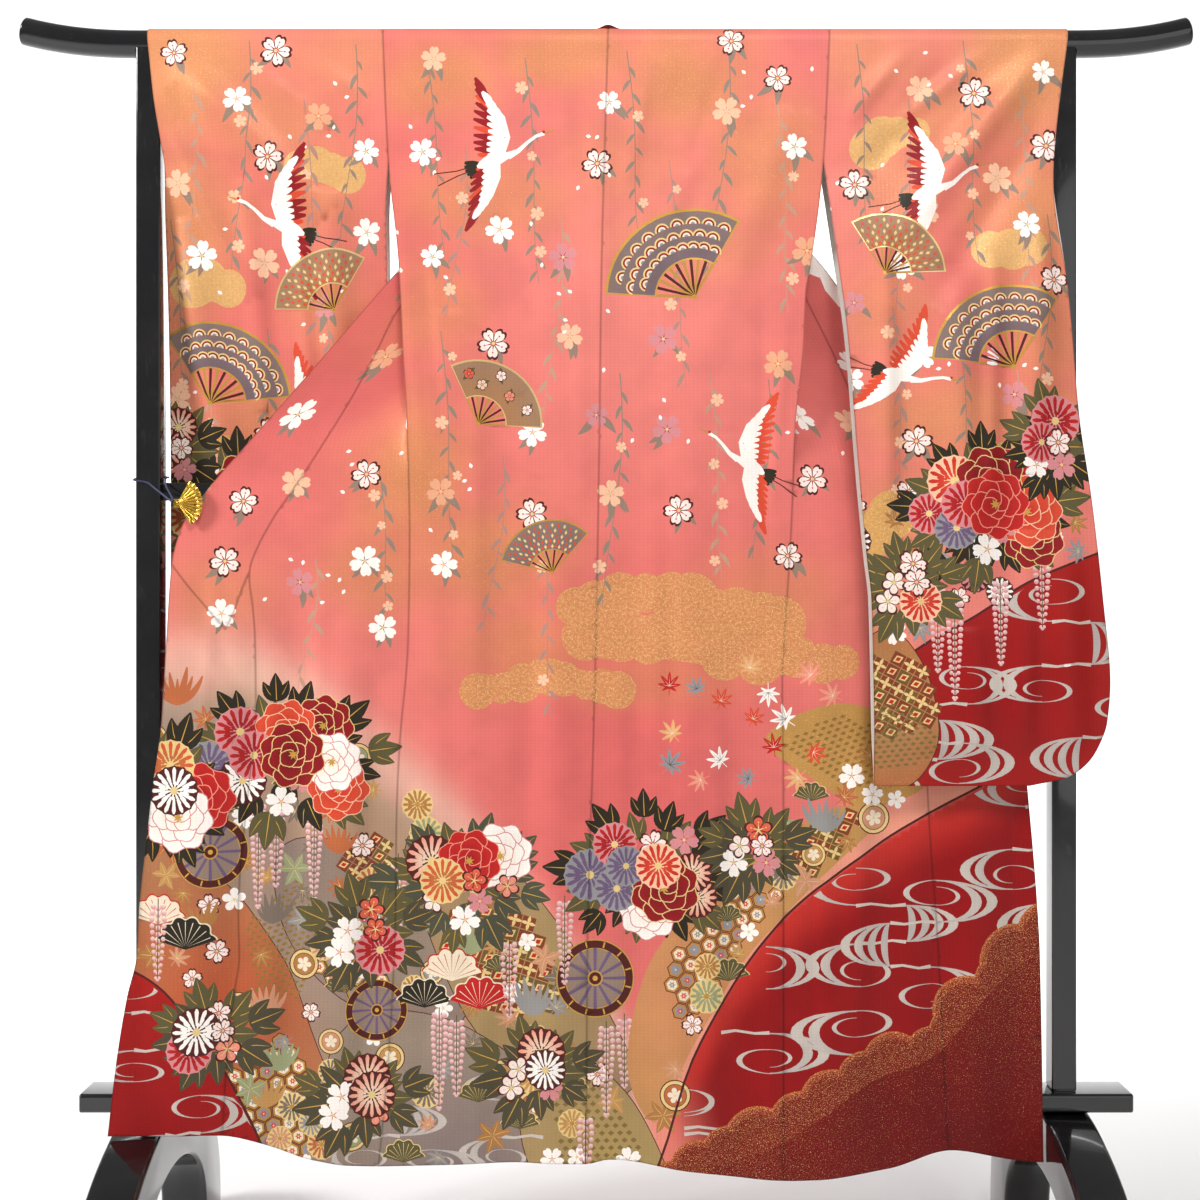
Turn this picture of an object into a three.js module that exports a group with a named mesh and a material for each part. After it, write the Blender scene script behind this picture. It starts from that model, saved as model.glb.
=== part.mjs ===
// A furisode, a long-sleeved kimono, hung over the top bar of its lacquered stand.
// The robe shows its back: the back panels hang over the bar towards -Y, and the
// front panels hang behind it, towards +Y. Below the waist both front panels are
// drawn out sideways beside the back, so that the skirt is spread flat. The left
// one is held out by a fan-shaped clip, tied to the left post with a cord.
// Units are millimetres, +Z is up, +X is to the right of someone who looks at the
// robe's back, and the origin is on the floor below the middle of the bar.
import * as THREE from "three";

// ---------------------------------------------------------------- dimensions
const CLOTH = 1.6; // thickness of the lined silk
const SEAM = 0.3; // gap between two pieces that are sewn together
const REST = 0.3; // gap between two pieces that touch

const BAR_RADIUS = 20;
const BAR_HEIGHT = 1817; // middle of the bar
const BAR_HALF = 853;
const BAR_STRAIGHT_HALF = 678; // the bar is straight as far as this
const BAR_LIFT = 19; // how far its ends curve up
const POST_X = 669; // middle of each post, to the side
const POST_SIZE = 36;
const MID_RAIL = { low: 1146, high: 1172, deep: 18 };
const LOWER_RAIL = { low: 255.3, high: 283, deep: 68, half: 765 };
const FOOT_WIDE = 72;

const NECK_X = 3; // the middle of the neck, at the bar
const ARMHOLE_Z = 1640; // the armhole's lower end
const OPENING_Z = 1487; // the side seam starts here, below the opening under the sleeve
const WAIST_Z = 1078; // below this the skirt is spread flat
const KENSAKI_Z = 1042; // where the gusset panel's tip meets the collar
const LAST_ROW_Z = 300; // the last level row above the hem
const SADDLE_RADIUS = BAR_RADIUS + REST + CLOTH / 2 + 0.3;

// ---------------------------------------------------------------- small maths
const lerp = (a, b, t) => a + (b - a) * t;
const clamp01 = (t) => Math.min(1, Math.max(0, t));
const smooth = (from, to, value) => {
  const t = clamp01((value - from) / (to - from));
  return t * t * (3 - 2 * t);
};

// Slope of a curve through three of a table's points that never overshoots them.
function gentleSlope(before, after) {
  return before * after <= 0 ? 0 : (2 * before * after) / (before + after);
}

// A smooth curve through a table of [key, value] rows, flat beyond both ends.
function through(rows, column = 1) {
  const points = rows.map((row) => [row[0], row[column]]).sort((a, b) => a[0] - b[0]);
  const last = points.length - 1;
  const rise = points.slice(1).map(([k, v], i) => (v - points[i][1]) / (k - points[i][0]));
  const slope = points.map((_, i) =>
    i === 0 ? rise[0] : i === last ? rise[last - 1] : gentleSlope(rise[i - 1], rise[i])
  );
  return (key) => {
    if (key <= points[0][0]) return points[0][1];
    if (key >= points[last][0]) return points[last][1];
    let i = 0;
    while (key > points[i + 1][0]) i += 1;
    const width = points[i + 1][0] - points[i][0];
    const t = (key - points[i][0]) / width;
    const s = 1 - t;
    return (
      points[i][1] * (1 + 2 * t) * s * s +
      points[i + 1][1] * (3 - 2 * t) * t * t +
      (slope[i] * s - slope[i + 1] * t) * width * t * s
    );
  };
}

// ---------------------------------------------------------------- seam lines
// Each table runs down the robe. Columns: height z, then what each comment names.

// middle seam of the back: z, x
const backSeam = through([
  [1838, 3], [1440, -7.5], [1260, -9.6], [940, -15], [785, -19], [505, -27], [184, -29],
]);

// depth of the back panels: z, y
const backDepth = through([
  [1817, -21.5], [1740, -23], [1640, -24], [1487, -27], [1290, -30], [1042, -32],
  [735, -40], [400, -50], [184, -60],
]);

// the hem: x, z
const hem = through([
  [-707, 241], [-630, 240], [-550, 238], [-417, 199], [-324, 188], [-132, 193], [-29, 191],
  [3, 197], [117, 181], [259, 167], [404, 182], [495, 207], [605, 190], [640, 188],
]);

// How far the collar's outer end of a level line across it lies above its inner end: z, rise
const collarTilt = through([[1500, 0], [1290, 20], [1120, 55], [1042, 80], [958, 94]]);

// How the slack of a front lies: the handles of the curve along a level line, from its side
// edge to the collar's outer edge. z, then how far the first handle reaches towards the
// middle of the back and away from the viewer, then the same for the second handle
const SLACK = [
  [1817, 98, 0, -98, 0], [1740, 75, -3, -70, -6], [1640, 80, -20, 45, -16],
  [1560, 80, -17, 90, -8], [1487, 110, 4, 120, 10], [1431, 110, 8, 150, 25],
  [1360, 90, 10, 160, 38], [1290, 45, 12, 170, 42], [1230, 0, 14, 150, 26],
  [1172, -40, 5, 120, 14], [1120, -80, 1, 110, 6], [1078, -105, -4, 105, 4],
  [230, -115, -6, 115, 5],
];
const handles = [1, 2, 3, 4].map((column) => through(SLACK, column));

const LEFT = {
  name: "left",
  way: -1,
  // side seam and armhole of the back panel: z, x
  side: [
    [1838, -326], [1640, -317], [1487, -301], [1365, -295], [1260, -289], [1095, -285],
    [940, -287], [785, -299], [680, -303], [545, -304], [390, -310], [235, -322], [184, -327],
  ],
  // The front panel's edge beside it. Free between armhole and side seam: z, y
  frontSide: [[1817, 21.5], [1740, 21.5], [1640, 20], [1590, 10], [1540, -8], [1487, -24.7]],
  // width of the collar along a level line, then of the gusset below it: z, width
  strip: [
    [1838, 60], [1740, 64], [1640, 56], [1560, 36], [1487, 44], [1431, 48], [1360, 70],
    [1290, 92], [1230, 107], [1172, 120], [1120, 125], [1078, 118], [1042, 112], [980, 122],
    [922, 127], [740, 135], [660, 136], [545, 140], [430, 150], [315, 156], [230, 161],
  ],
  // collar's outer edge, then the gusset's free edge: z, x, y
  edge: [
    [1838, -14, 0], [1817, -32, 21.5], [1740, -95, 13], [1640, -176, 3], [1560, -241, -5],
    [1487, -301, -12], [1431, -348, -18], [1360, -407, -25], [1290, -466, -32],
    [1230, -517, -38], [1157, -578, -45], [1110, -610, -50], [1052, -625, -55],
    [948, -631, -60], [826, -637, -64], [740, -648, -67], [660, -657, -70], [570, -666, -74],
    [490, -670, -77], [435, -682, -80], [340, -696, -86], [238, -706, -93],
  ],
  notch: { across: 0.33, low: 958, out: 1052 },
  sleeve: {
    // inner edge of both layers, free below the armhole: z, x
    inner: [[1640, -317], [1560, -322], [735, -322]],
    // outer edge of the layer that faces the viewer: z, x
    outer: [
      [1838, -671], [1735, -660], [1665, -649.5], [1633, -646], [1560, -648], [900, -648.5],
      [840, -644], [790, -628], [760, -600], [742, -562], [735, -520],
    ],
    // outer edge of the layer behind, which passes inside the post: z, x
    outerFar: [
      [1838, -671], [1817, -668], [1780, -648.7], [1633, -646], [1560, -648], [900, -648.5],
      [840, -644], [790, -628], [760, -600], [742, -562], [735, -520],
    ],
    // inner edge: z, y midway between the layers, half of the space between them
    open: [
      [1817, 0, 20.5], [1740, -1, 21.5], [1640, 0, 21], [1600, 4, 20.5], [1540, 12, 19],
      [1480, 19, 17], [1431, 24, 16], [1290, 32, 15], [1200, 34, 15], [735, 34, 14],
    ],
    // outer edge: the same columns
    closed: [
      [1817, 0, 20.5], [1780, 0, 20.5], [1740, -5.5, 16.5], [1700, -10, 11], [1660, -15, 3],
      [1633, -12, 0], [1560, 0, 0], [1480, 11, 0], [1400, 20, 0], [1290, 28, 0], [1200, 32, 0],
      [735, 34, 0],
    ],
    bottom: 735,
  },
};

const RIGHT = {
  name: "right",
  way: 1,
  side: [
    [1838, 326], [1640, 316], [1487, 297], [1450, 290], [1365, 286], [1250, 274], [1095, 268],
    [1000, 262], [880, 255], [740, 256], [170, 254],
  ],
  frontSide: [[1817, 21.5], [1740, 21.5], [1640, 20], [1590, 10], [1540, -8], [1487, -24.7]],
  strip: [
    [1838, 56], [1740, 64], [1640, 62], [1560, 46], [1487, 50], [1431, 61], [1360, 77],
    [1290, 98], [1190, 125], [1120, 132], [1078, 125], [1042, 128], [980, 130], [740, 145],
    [625, 148], [508, 147], [393, 144], [200, 138],
  ],
  edge: [
    [1838, 20, 0], [1817, 39, 21.5], [1740, 105, 16], [1640, 191, 9], [1560, 259, 4],
    [1487, 322, -1], [1431, 361, -5], [1360, 412, -10], [1290, 463, -15], [1230, 507, -19],
    [1157, 560, -24], [1110, 575, -27], [1052, 585, -30], [948, 592, -31], [735, 610, -36],
    [570, 623, -40], [490, 627, -42], [190, 631, -47],
  ],
  notch: { across: 0.36, low: 962, out: 1052 },
  sleeve: {
    inner: [
      [1640, 316], [1477, 335], [1390, 345], [1217, 357], [1058, 370], [1000, 376], [735, 381],
    ],
    outer: [
      [1838, 675], [1604, 650.5], [1448, 669], [1260, 682], [1145, 697], [1000, 711],
      [884, 720], [825, 715], [790, 702], [770, 689], [747, 658], [735, 604],
    ],
    outerFar: [
      [1838, 675], [1817, 670], [1780, 648.7], [1640, 647.5], [1604, 650], [1448, 669],
      [1260, 682], [1145, 697], [1000, 711], [884, 720], [825, 715], [790, 702], [770, 689],
      [747, 658], [735, 604],
    ],
    open: [
      [1817, 0, 20.5], [1740, -1, 21.5], [1640, -2, 21], [1580, -12.5, 20], [1480, -30.5, 18],
      [1390, -42.5, 16], [1300, -52.5, 15], [1150, -60.5, 15], [1000, -69.5, 14], [735, -73.5, 13],
    ],
    closed: [
      [1817, 0, 20.5], [1780, 0, 20.5], [1740, -6, 16], [1680, -16.5, 7.5], [1604, -26, 0],
      [1448, -36, 0], [1300, -46, 0], [1145, -56, 0], [1000, -64, 0], [884, -68, 0],
      [735, -72, 0],
    ],
    bottom: 735,
  },
};

// ---------------------------------------------------------------- folds
// Soft folds, each a line from one point to another, as seen from the front:
// x and z of its two ends, its half width and its depth, where minus comes forward.
const SKIRT_FOLDS = [
  [-236, 1420, -206, 120, 40, -6],
  [-150, 1560, -128, 100, 36, 5],
  [-62, 1240, -84, 90, 30, -5],
  [52, 1330, 40, 90, 34, 5],
  [128, 1500, 118, 110, 38, -6],
  [205, 1260, 190, 90, 34, 5],
  [-120, 1800, -30, 1480, 34, 3],
  [120, 1800, 40, 1500, 34, 3],
  [-372, 1010, -380, 80, 36, -9],
  [-446, 1060, -470, 90, 30, 8],
  [-590, 900, -610, 160, 30, -5],
  [330, 980, 322, 70, 30, -5],
  [415, 1040, 404, 90, 30, 4],
  [545, 900, 552, 100, 30, -4],
];
const LEFT_SLEEVE_FOLDS = [
  [-668, 1842, -410, 1560, 26, -7],
  [-640, 1742, -430, 1470, 24, 6],
  [-560, 1850, -360, 1640, 24, 5],
  [-628, 1560, -560, 1180, 30, -7],
  [-500, 1500, -470, 1120, 30, 6],
  [-400, 1600, -396, 1200, 28, -6],
  [-560, 1120, -548, 700, 40, 6],
];
const RIGHT_SLEEVE_FOLDS = [
  [664, 1842, 420, 1520, 26, -7],
  [648, 1720, 470, 1420, 24, 6],
  [545, 1850, 380, 1620, 24, 5],
  [640, 1560, 600, 1180, 32, -6],
  [500, 1480, 512, 1020, 34, -7],
  [570, 1380, 596, 900, 30, 6],
  [430, 1420, 440, 720, 30, 6],
  [650, 1100, 662, 760, 30, -5],
];
// The same kind of folds for the layers behind, uneven in another way.
const LEFT_FAR_FOLDS = [
  [-655, 1842, -450, 1500, 28, 6],
  [-540, 1800, -380, 1450, 26, -5],
  [-590, 1500, -600, 780, 34, 6],
  [-470, 1400, -450, 720, 34, -6],
  [-380, 1350, -372, 800, 30, 5],
];
const RIGHT_FAR_FOLDS = [
  [655, 1842, 460, 1540, 28, 6],
  [560, 1780, 400, 1480, 26, -4],
  [620, 1480, 640, 800, 34, 4],
  [500, 1380, 490, 760, 34, 4],
  [410, 1200, 420, 740, 30, -4],
];

// How far the folds move the cloth at x and z.
function foldDepth(folds, x, z) {
  let depth = 0;
  for (const [x0, z0, x1, z1, wide, deep] of folds) {
    const length = Math.hypot(x1 - x0, z1 - z0);
    const alongX = (x1 - x0) / length;
    const alongZ = (z1 - z0) / length;
    const along = ((x - x0) * alongX + (z - z0) * alongZ) / length;
    if (along <= 0 || along >= 1) continue;
    const aside = ((x - x0) * alongZ - (z - z0) * alongX) / wide;
    depth += deep * Math.exp(-aside * aside) * Math.sqrt(4 * along * (1 - along));
  }
  return depth;
}

// ---------------------------------------------------------------- rows
// Levels down a piece that hangs over the bar. The first ones turn over the bar.
const SADDLE_STEPS = 4;
const FRONT_COLUMNS = 10;
const COLLAR_COLUMNS = 4;
const CREST = Math.asin(SEAM / SADDLE_RADIUS);
const LEVELS = [
  1780, 1740, 1690, 1640, 1590, 1540, 1487, 1445, 1400, 1350, 1300, 1250, 1200, 1150, 1100,
  KENSAKI_Z, 980, 900, 800, 700, 600, 500, 400, LAST_ROW_Z,
];
const saddleRows = Array.from({ length: SADDLE_STEPS + 1 }, (_, i) => {
  const angle = lerp(CREST, Math.PI / 2, i / SADDLE_STEPS);
  return {
    z: BAR_HEIGHT + SADDLE_RADIUS * Math.cos(angle),
    over: SADDLE_RADIUS * Math.sin(angle),
    saddle: true,
  };
});
const rowsDownTo = (lowest) => [
  ...saddleRows,
  ...LEVELS.filter((z) => z >= lowest).map((z) => ({ z, saddle: false })),
];
const HEM_ROW = { z: null, saddle: false };

// ---------------------------------------------------------------- cloth
// A closed wall of cloth around a grid of middle points, grid[row][column].
function clothWall(grid) {
  const rows = grid.length;
  const columns = grid[0].length;
  const pick = (r, c) =>
    grid[Math.min(rows - 1, Math.max(0, r))][Math.min(columns - 1, Math.max(0, c))];
  const positions = [];
  for (const face of [1, -1]) {
    for (let r = 0; r < rows; r += 1) {
      for (let c = 0; c < columns; c += 1) {
        const across = pick(r, c + 1).clone().sub(pick(r, c - 1));
        const down = pick(r + 1, c).clone().sub(pick(r - 1, c));
        const normal = across.cross(down).normalize();
        const point = grid[r][c].clone().addScaledVector(normal, (face * CLOTH) / 2);
        positions.push(point.x, point.y, point.z);
      }
    }
  }
  const at = (face, r, c) => (face * rows + r) * columns + c;
  const index = [];
  const quad = (a, b, c, d) => index.push(a, b, c, a, c, d);
  for (let r = 0; r < rows - 1; r += 1) {
    for (let c = 0; c < columns - 1; c += 1) {
      quad(at(0, r, c), at(0, r, c + 1), at(0, r + 1, c + 1), at(0, r + 1, c));
      quad(at(1, r, c), at(1, r + 1, c), at(1, r + 1, c + 1), at(1, r, c + 1));
    }
  }
  for (let r = 0; r < rows - 1; r += 1) {
    quad(at(0, r, 0), at(0, r + 1, 0), at(1, r + 1, 0), at(1, r, 0));
    const c = columns - 1;
    quad(at(0, r + 1, c), at(0, r, c), at(1, r, c), at(1, r + 1, c));
  }
  for (let c = 0; c < columns - 1; c += 1) {
    quad(at(0, 0, c + 1), at(0, 0, c), at(1, 0, c), at(1, 0, c + 1));
    const r = rows - 1;
    quad(at(0, r, c), at(0, r, c + 1), at(1, r, c + 1), at(1, r, c));
  }
  return closedGeometry(positions, index);
}

// A geometry from points and triangles, turned so that its faces point outwards.
function closedGeometry(positions, index) {
  const corner = (i) => new THREE.Vector3().fromArray(positions, index[i] * 3);
  let volume = 0;
  for (let i = 0; i < index.length; i += 3) {
    volume += corner(i).dot(corner(i + 1).cross(corner(i + 2)));
  }
  if (volume < 0) index.reverse();
  const geometry = new THREE.BufferGeometry();
  geometry.setAttribute("position", new THREE.Float32BufferAttribute(positions, 3));
  geometry.setIndex(index);
  geometry.computeVertexNormals();
  return geometry;
}

const spread = (count) => Array.from({ length: count + 1 }, (_, i) => i / count);

// Curves of one side's seams, ready to be read at any height.
function seamCurves(side) {
  return {
    sideX: through(side.side),
    frontSideY: through(side.frontSide),
    strip: through(side.strip),
    edgeX: through(side.edge),
    edgeY: through(side.edge, 2),
  };
}

function backY(row, x, z) {
  if (row.saddle) return -row.over;
  return backDepth(z) + foldDepth(SKIRT_FOLDS, x, z) * smooth(BAR_HEIGHT, 1700, z);
}

function backPanel(side) {
  const { sideX } = seamCurves(side);
  const rows = [...rowsDownTo(LAST_ROW_Z), HEM_ROW];
  const grid = rows.map((row) =>
    spread(8).map((t) => {
      const level = row.z ?? LAST_ROW_Z;
      const from = backSeam(level) + (side.way * SEAM) / 2;
      const to = sideX(level) - (side.way * SEAM) / 2;
      const z = row.z ?? hem(lerp(from, to, t));
      const x = lerp(
        backSeam(z) + (side.way * SEAM) / 2,
        sideX(z) - (side.way * SEAM) / 2,
        t
      );
      return new THREE.Vector3(x, backY(row, x, z), z);
    })
  );
  return clothWall(grid);
}

// Where the front panel's side edge lies: sewn to the back below the side opening, with
// the seam lapped behind the back's edge where the front folds away behind it.
function frontSidePoint(side, curves, row, z) {
  const x = curves.sideX(z);
  if (row.saddle) return new THREE.Vector3(x - (side.way * SEAM) / 2, row.over, z);
  const lap = smooth(WAIST_Z, 1290, z);
  const free = smooth(ARMHOLE_Z, ARMHOLE_Z - 60, z);
  const shift = lerp(-SEAM / 2, SEAM / 2 + lap * 0.45, free);
  const sewn = backY(row, x, z) + lap * (CLOTH + 2 * SEAM);
  const y = z > OPENING_Z ? lerp(sewn, curves.frontSideY(z), smooth(OPENING_Z, 1530, z)) : sewn;
  return new THREE.Vector3(x + side.way * shift, y, z);
}

// The spread part of a front: how far the skirt's folds reach up into it.
const spreadFold = (x, z) => foldDepth(SKIRT_FOLDS, x, z) * smooth(1160, 1020, z);

// The level line across a front at one height, from its side edge to its outer edge, and
// how far along it the seam of the collar or gusset lies.
function frontLine(side, curves, row, z) {
  const start = frontSidePoint(side, curves, row, z);
  const end = new THREE.Vector3(curves.edgeX(z), row.saddle ? row.over : curves.edgeY(z), z);
  const [sideIn, sideBack, edgeIn, edgeBack] = row.saddle
    ? [98, 0, -98, 0]
    : handles.map((handle) => handle(z));
  const curve = new THREE.CubicBezierCurve3(
    start,
    new THREE.Vector3(start.x - side.way * sideIn, start.y + sideBack, z),
    new THREE.Vector3(end.x - side.way * edgeIn, end.y + edgeBack, z),
    end
  );
  const length = curve.getLength();
  // The seam opens a little where it runs through the bend of the slack.
  const ease = 1 + 3 * smooth(1700, 1600, z) * smooth(1440, 1500, z);
  return { curve, seam: 1 - curves.strip(z) / length, gap: (SEAM / 2 / length) * ease };
}

function frontRow(side, curves, row, z) {
  const { curve, seam, gap } = frontLine(side, curves, row, z);
  return spread(FRONT_COLUMNS).map((t) => {
    const point = curve.getPointAt(t * (seam - gap));
    point.y += spreadFold(point.x, z) * smooth(0, 0.15, t);
    return point;
  });
}

function frontPanel(side) {
  const curves = seamCurves(side);
  const grid = rowsDownTo(LAST_ROW_Z).map((row) => frontRow(side, curves, row, row.z));
  const bottom = grid[grid.length - 1].map(({ x }) => frontRow(side, curves, HEM_ROW, hem(x)));
  grid.push(bottom.map((points, column) => points[column]));
  return clothWall(grid);
}

// A point of the gusset, from its seam at 0 to its free edge at 1, at one height.
function gussetPoint(side, curves, across, z) {
  const { curve, seam, gap } = frontLine(side, curves, HEM_ROW, z);
  const from = curve.getPointAt(seam + gap);
  const point = from.lerp(curve.getPointAt(1), across);
  point.y += spreadFold(point.x, z);
  return point;
}

// The gusset's top edge: from its tip down along the collar, then up along the collar's end.
function gussetTopZ({ across: notchAt, low, out }, across) {
  if (across < notchAt) return lerp(KENSAKI_Z, low, across / notchAt);
  return lerp(low, out, (across - notchAt) / (1 - notchAt));
}

function gusset(side) {
  const curves = seamCurves(side);
  const { across: notchAt } = side.notch;
  const columns = [
    ...spread(2).map((t) => t * notchAt),
    ...spread(COLLAR_COLUMNS).slice(1).map((t) => lerp(notchAt, 1, t)),
  ];
  const levels = LEVELS.filter((z) => z <= KENSAKI_Z);
  const grid = [...levels, null].map((level) =>
    columns.map((across) => {
      if (level === null) {
        const { x } = gussetPoint(side, curves, across, LAST_ROW_Z);
        return gussetPoint(side, curves, across, hem(x));
      }
      const top = gussetTopZ(side.notch, across) - 2 * SEAM;
      const share = (KENSAKI_Z - level) / (KENSAKI_Z - LAST_ROW_Z);
      return gussetPoint(side, curves, across, lerp(top, LAST_ROW_Z, share));
    })
  );
  return clothWall(grid);
}

// The collar, spread to its full width, from the neck down to its end. Its lower rows tilt:
// their outer ends lie higher than their inner ones, until the last one is its end.
function collar(side) {
  const curves = seamCurves(side);
  const { notch } = side;
  const tilted = (inner, z, step) => {
    const top = z + collarTilt(z);
    return spread(COLLAR_COLUMNS).map((t) => {
      const level = lerp(z, top, t);
      if (step) return gussetPoint(side, curves, lerp(inner, 1, t), level);
      const { curve, seam, gap } = frontLine(side, curves, HEM_ROW, level);
      const point = curve.getPointAt(lerp(seam + gap, 1, t));
      point.y += spreadFold(point.x, level);
      return point;
    });
  };
  const grid = rowsDownTo(KENSAKI_Z).map((row) => {
    if (!row.saddle) return tilted(0, row.z, false);
    const { curve, seam, gap } = frontLine(side, curves, row, row.z);
    return spread(COLLAR_COLUMNS).map((t) => curve.getPointAt(lerp(seam + gap, 1, t)));
  });
  const halfWay = notch.across / 2;
  grid.push(tilted(halfWay, gussetTopZ(notch, halfWay), true));
  grid.push(
    spread(COLLAR_COLUMNS).map((t) => {
      const across = lerp(notch.across, 1, t);
      return gussetPoint(side, curves, across, gussetTopZ(notch, across));
    })
  );
  return clothWall(grid);
}

// The collar's middle, which passes over the bar at the back of the neck.
function collarMiddle() {
  const [left, right] = [LEFT, RIGHT].map((side) => through(side.edge));
  const hump = { wide: 13, high: 7.5 };
  const low = LEVELS[0];
  const rows = [...saddleRows, { z: low, over: SADDLE_RADIUS - 1 }];
  const grid = rows.map(({ z, over }) =>
    spread(8).map((t) => {
      const x = lerp(left(z) + 3 * SEAM, right(z) - 3 * SEAM, t);
      const aside = (x - NECK_X) / hump.wide;
      const lift = hump.high * Math.exp(-aside * aside) * clamp01((z - BAR_HEIGHT) / SADDLE_RADIUS);
      return new THREE.Vector3(x, over, z + lift);
    })
  );
  return clothWall(grid);
}

// One layer of a sleeve: near is -1 for the layer towards the viewer and 1 behind.
function sleeveLayer(side, near, folds) {
  const { sleeve } = side;
  const { sideX } = seamCurves(side);
  const innerX = through(sleeve.inner);
  const outerX = through(near < 0 ? sleeve.outer : sleeve.outerFar);
  const [openMiddle, openHalf] = [1, 2].map((column) => through(sleeve.open, column));
  const [closedMiddle, closedHalf] = [1, 2].map((column) => through(sleeve.closed, column));
  const belly = 7;
  const levels = [
    ...LEVELS.filter((z) => z > 850),
    850, 800, 775, 755, 743, sleeve.bottom,
  ];
  const rows = [...saddleRows, ...levels.map((z) => ({ z, saddle: false }))];
  const grid = rows.map((row) =>
    spread(7).map((t) => {
      const { z } = row;
      const from = (z >= ARMHOLE_Z ? sideX(z) : innerX(z)) + (side.way * SEAM) / 2;
      const x = lerp(from, outerX(z), t);
      if (row.saddle) return new THREE.Vector3(x, near * row.over, z);
      const middle = lerp(openMiddle(z), closedMiddle(z), t);
      const space =
        lerp(openHalf(z), closedHalf(z), t) +
        belly * Math.sin(Math.PI * t) * smooth(1700, 1450, z);
      const sewn = smooth(sleeve.bottom, sleeve.bottom + 90, z);
      const fold =
        foldDepth(folds, x, z) * smooth(BAR_HEIGHT, 1720, z) * sewn * smooth(0, 0.12, 1 - t);
      const free = smooth(1640, 1560, z) + smooth(0, 0.2, t);
      const y = middle + near * ((CLOTH + SEAM) / 2 + space * sewn) + fold * clamp01(free);
      return new THREE.Vector3(x, y, z);
    })
  );
  return clothWall(grid);
}

// ---------------------------------------------------------------- stand
// The round bar that carries the robe: straight in the middle, with ends that curve up.
function topBar() {
  const sides = 20;
  const endSteps = 6;
  const reach = BAR_HALF - BAR_STRAIGHT_HALF;
  const lift = (x) => {
    const past = Math.max(0, Math.abs(x) - BAR_STRAIGHT_HALF) / reach;
    return BAR_LIFT * past ** 2.4;
  };
  const stations = [
    ...spread(endSteps).map((t) => -BAR_HALF + reach * t),
    ...spread(endSteps).map((t) => BAR_STRAIGHT_HALF + reach * t),
  ];
  const positions = [];
  for (const x of stations) {
    const slope = Math.atan((lift(x + 1) - lift(x - 1)) / 2);
    for (let i = 0; i < sides; i += 1) {
      const angle = (i / sides) * 2 * Math.PI;
      const up = BAR_RADIUS * Math.cos(angle);
      positions.push(
        x - up * Math.sin(slope),
        BAR_RADIUS * Math.sin(angle),
        BAR_HEIGHT + lift(x) + up * Math.cos(slope)
      );
    }
  }
  const index = [];
  const at = (station, i) => station * sides + (i % sides);
  for (let s = 0; s < stations.length - 1; s += 1) {
    for (let i = 0; i < sides; i += 1) {
      index.push(at(s, i), at(s, i + 1), at(s + 1, i + 1));
      index.push(at(s, i), at(s + 1, i + 1), at(s + 1, i));
    }
  }
  const end = stations.length - 1;
  for (let i = 1; i < sides - 1; i += 1) {
    index.push(at(0, 0), at(0, i + 1), at(0, i));
    index.push(at(end, 0), at(end, i), at(end, i + 1));
  }
  return closedGeometry(positions, index);
}

// A solid made by drawing an outline in y and z, and pulling it out along x.
function alongX(shape, wide, curveSegments) {
  const geometry = new THREE.ExtrudeGeometry(shape, {
    depth: wide,
    bevelEnabled: false,
    curveSegments,
  });
  // Outline x, y and pull z become y, z and x.
  const turn = new THREE.Matrix4().makeBasis(
    new THREE.Vector3(0, 1, 0),
    new THREE.Vector3(0, 0, 1),
    new THREE.Vector3(1, 0, 0)
  );
  return geometry.applyMatrix4(turn).translate(-wide / 2, 0, 0);
}

// A square post whose top is hollowed out to cradle the bar.
function post() {
  const half = POST_SIZE / 2;
  const cradle = BAR_RADIUS + REST;
  const lip = Math.acos(half / cradle);
  const shape = new THREE.Shape();
  shape.moveTo(-half, LOWER_RAIL.high + REST);
  shape.lineTo(half, LOWER_RAIL.high + REST);
  shape.lineTo(half, BAR_HEIGHT - cradle * Math.sin(lip));
  shape.absarc(0, BAR_HEIGHT, cradle, -lip, -Math.PI + lip, true);
  shape.lineTo(-half, LOWER_RAIL.high + REST);
  return alongX(shape, POST_SIZE, 8);
}

// A foot: a bridge that runs front to back, arched above the floor, with two flat pads.
function foot() {
  // outline of one half: distance from the middle, height
  const top = [
    [0, 255], [43, 249], [112, 230], [156, 213], [200, 190], [240, 160], [268, 126], [284, 84],
    [290, 40],
  ];
  const toe = 290;
  const heel = 196;
  const crown = 168;
  const shape = new THREE.Shape();
  const points = [
    ...top.map(([y, z]) => [-y, z]).reverse(),
    ...top.slice(1),
    [toe, 0],
    [heel, 0],
  ];
  const archSteps = 12;
  for (const t of spread(archSteps)) {
    const angle = t * Math.PI;
    points.push([heel * 0.96 * Math.cos(angle), 18 + (crown - 18) * Math.sin(angle) ** 0.8]);
  }
  points.push([-heel, 0], [-toe, 0]);
  points.forEach(([y, z], i) => (i ? shape.lineTo(y, z) : shape.moveTo(y, z)));
  return alongX(shape, FOOT_WIDE, 1);
}

const box = (wide, deep, high) => new THREE.BoxGeometry(wide, deep, high);

// ---------------------------------------------------------------- clip and cord
const CLIP = { x: -616, y: -56, z: 1139, radius: 37, open: 60, ribs: 11, thick: 2.2, turn: 2 };

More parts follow.
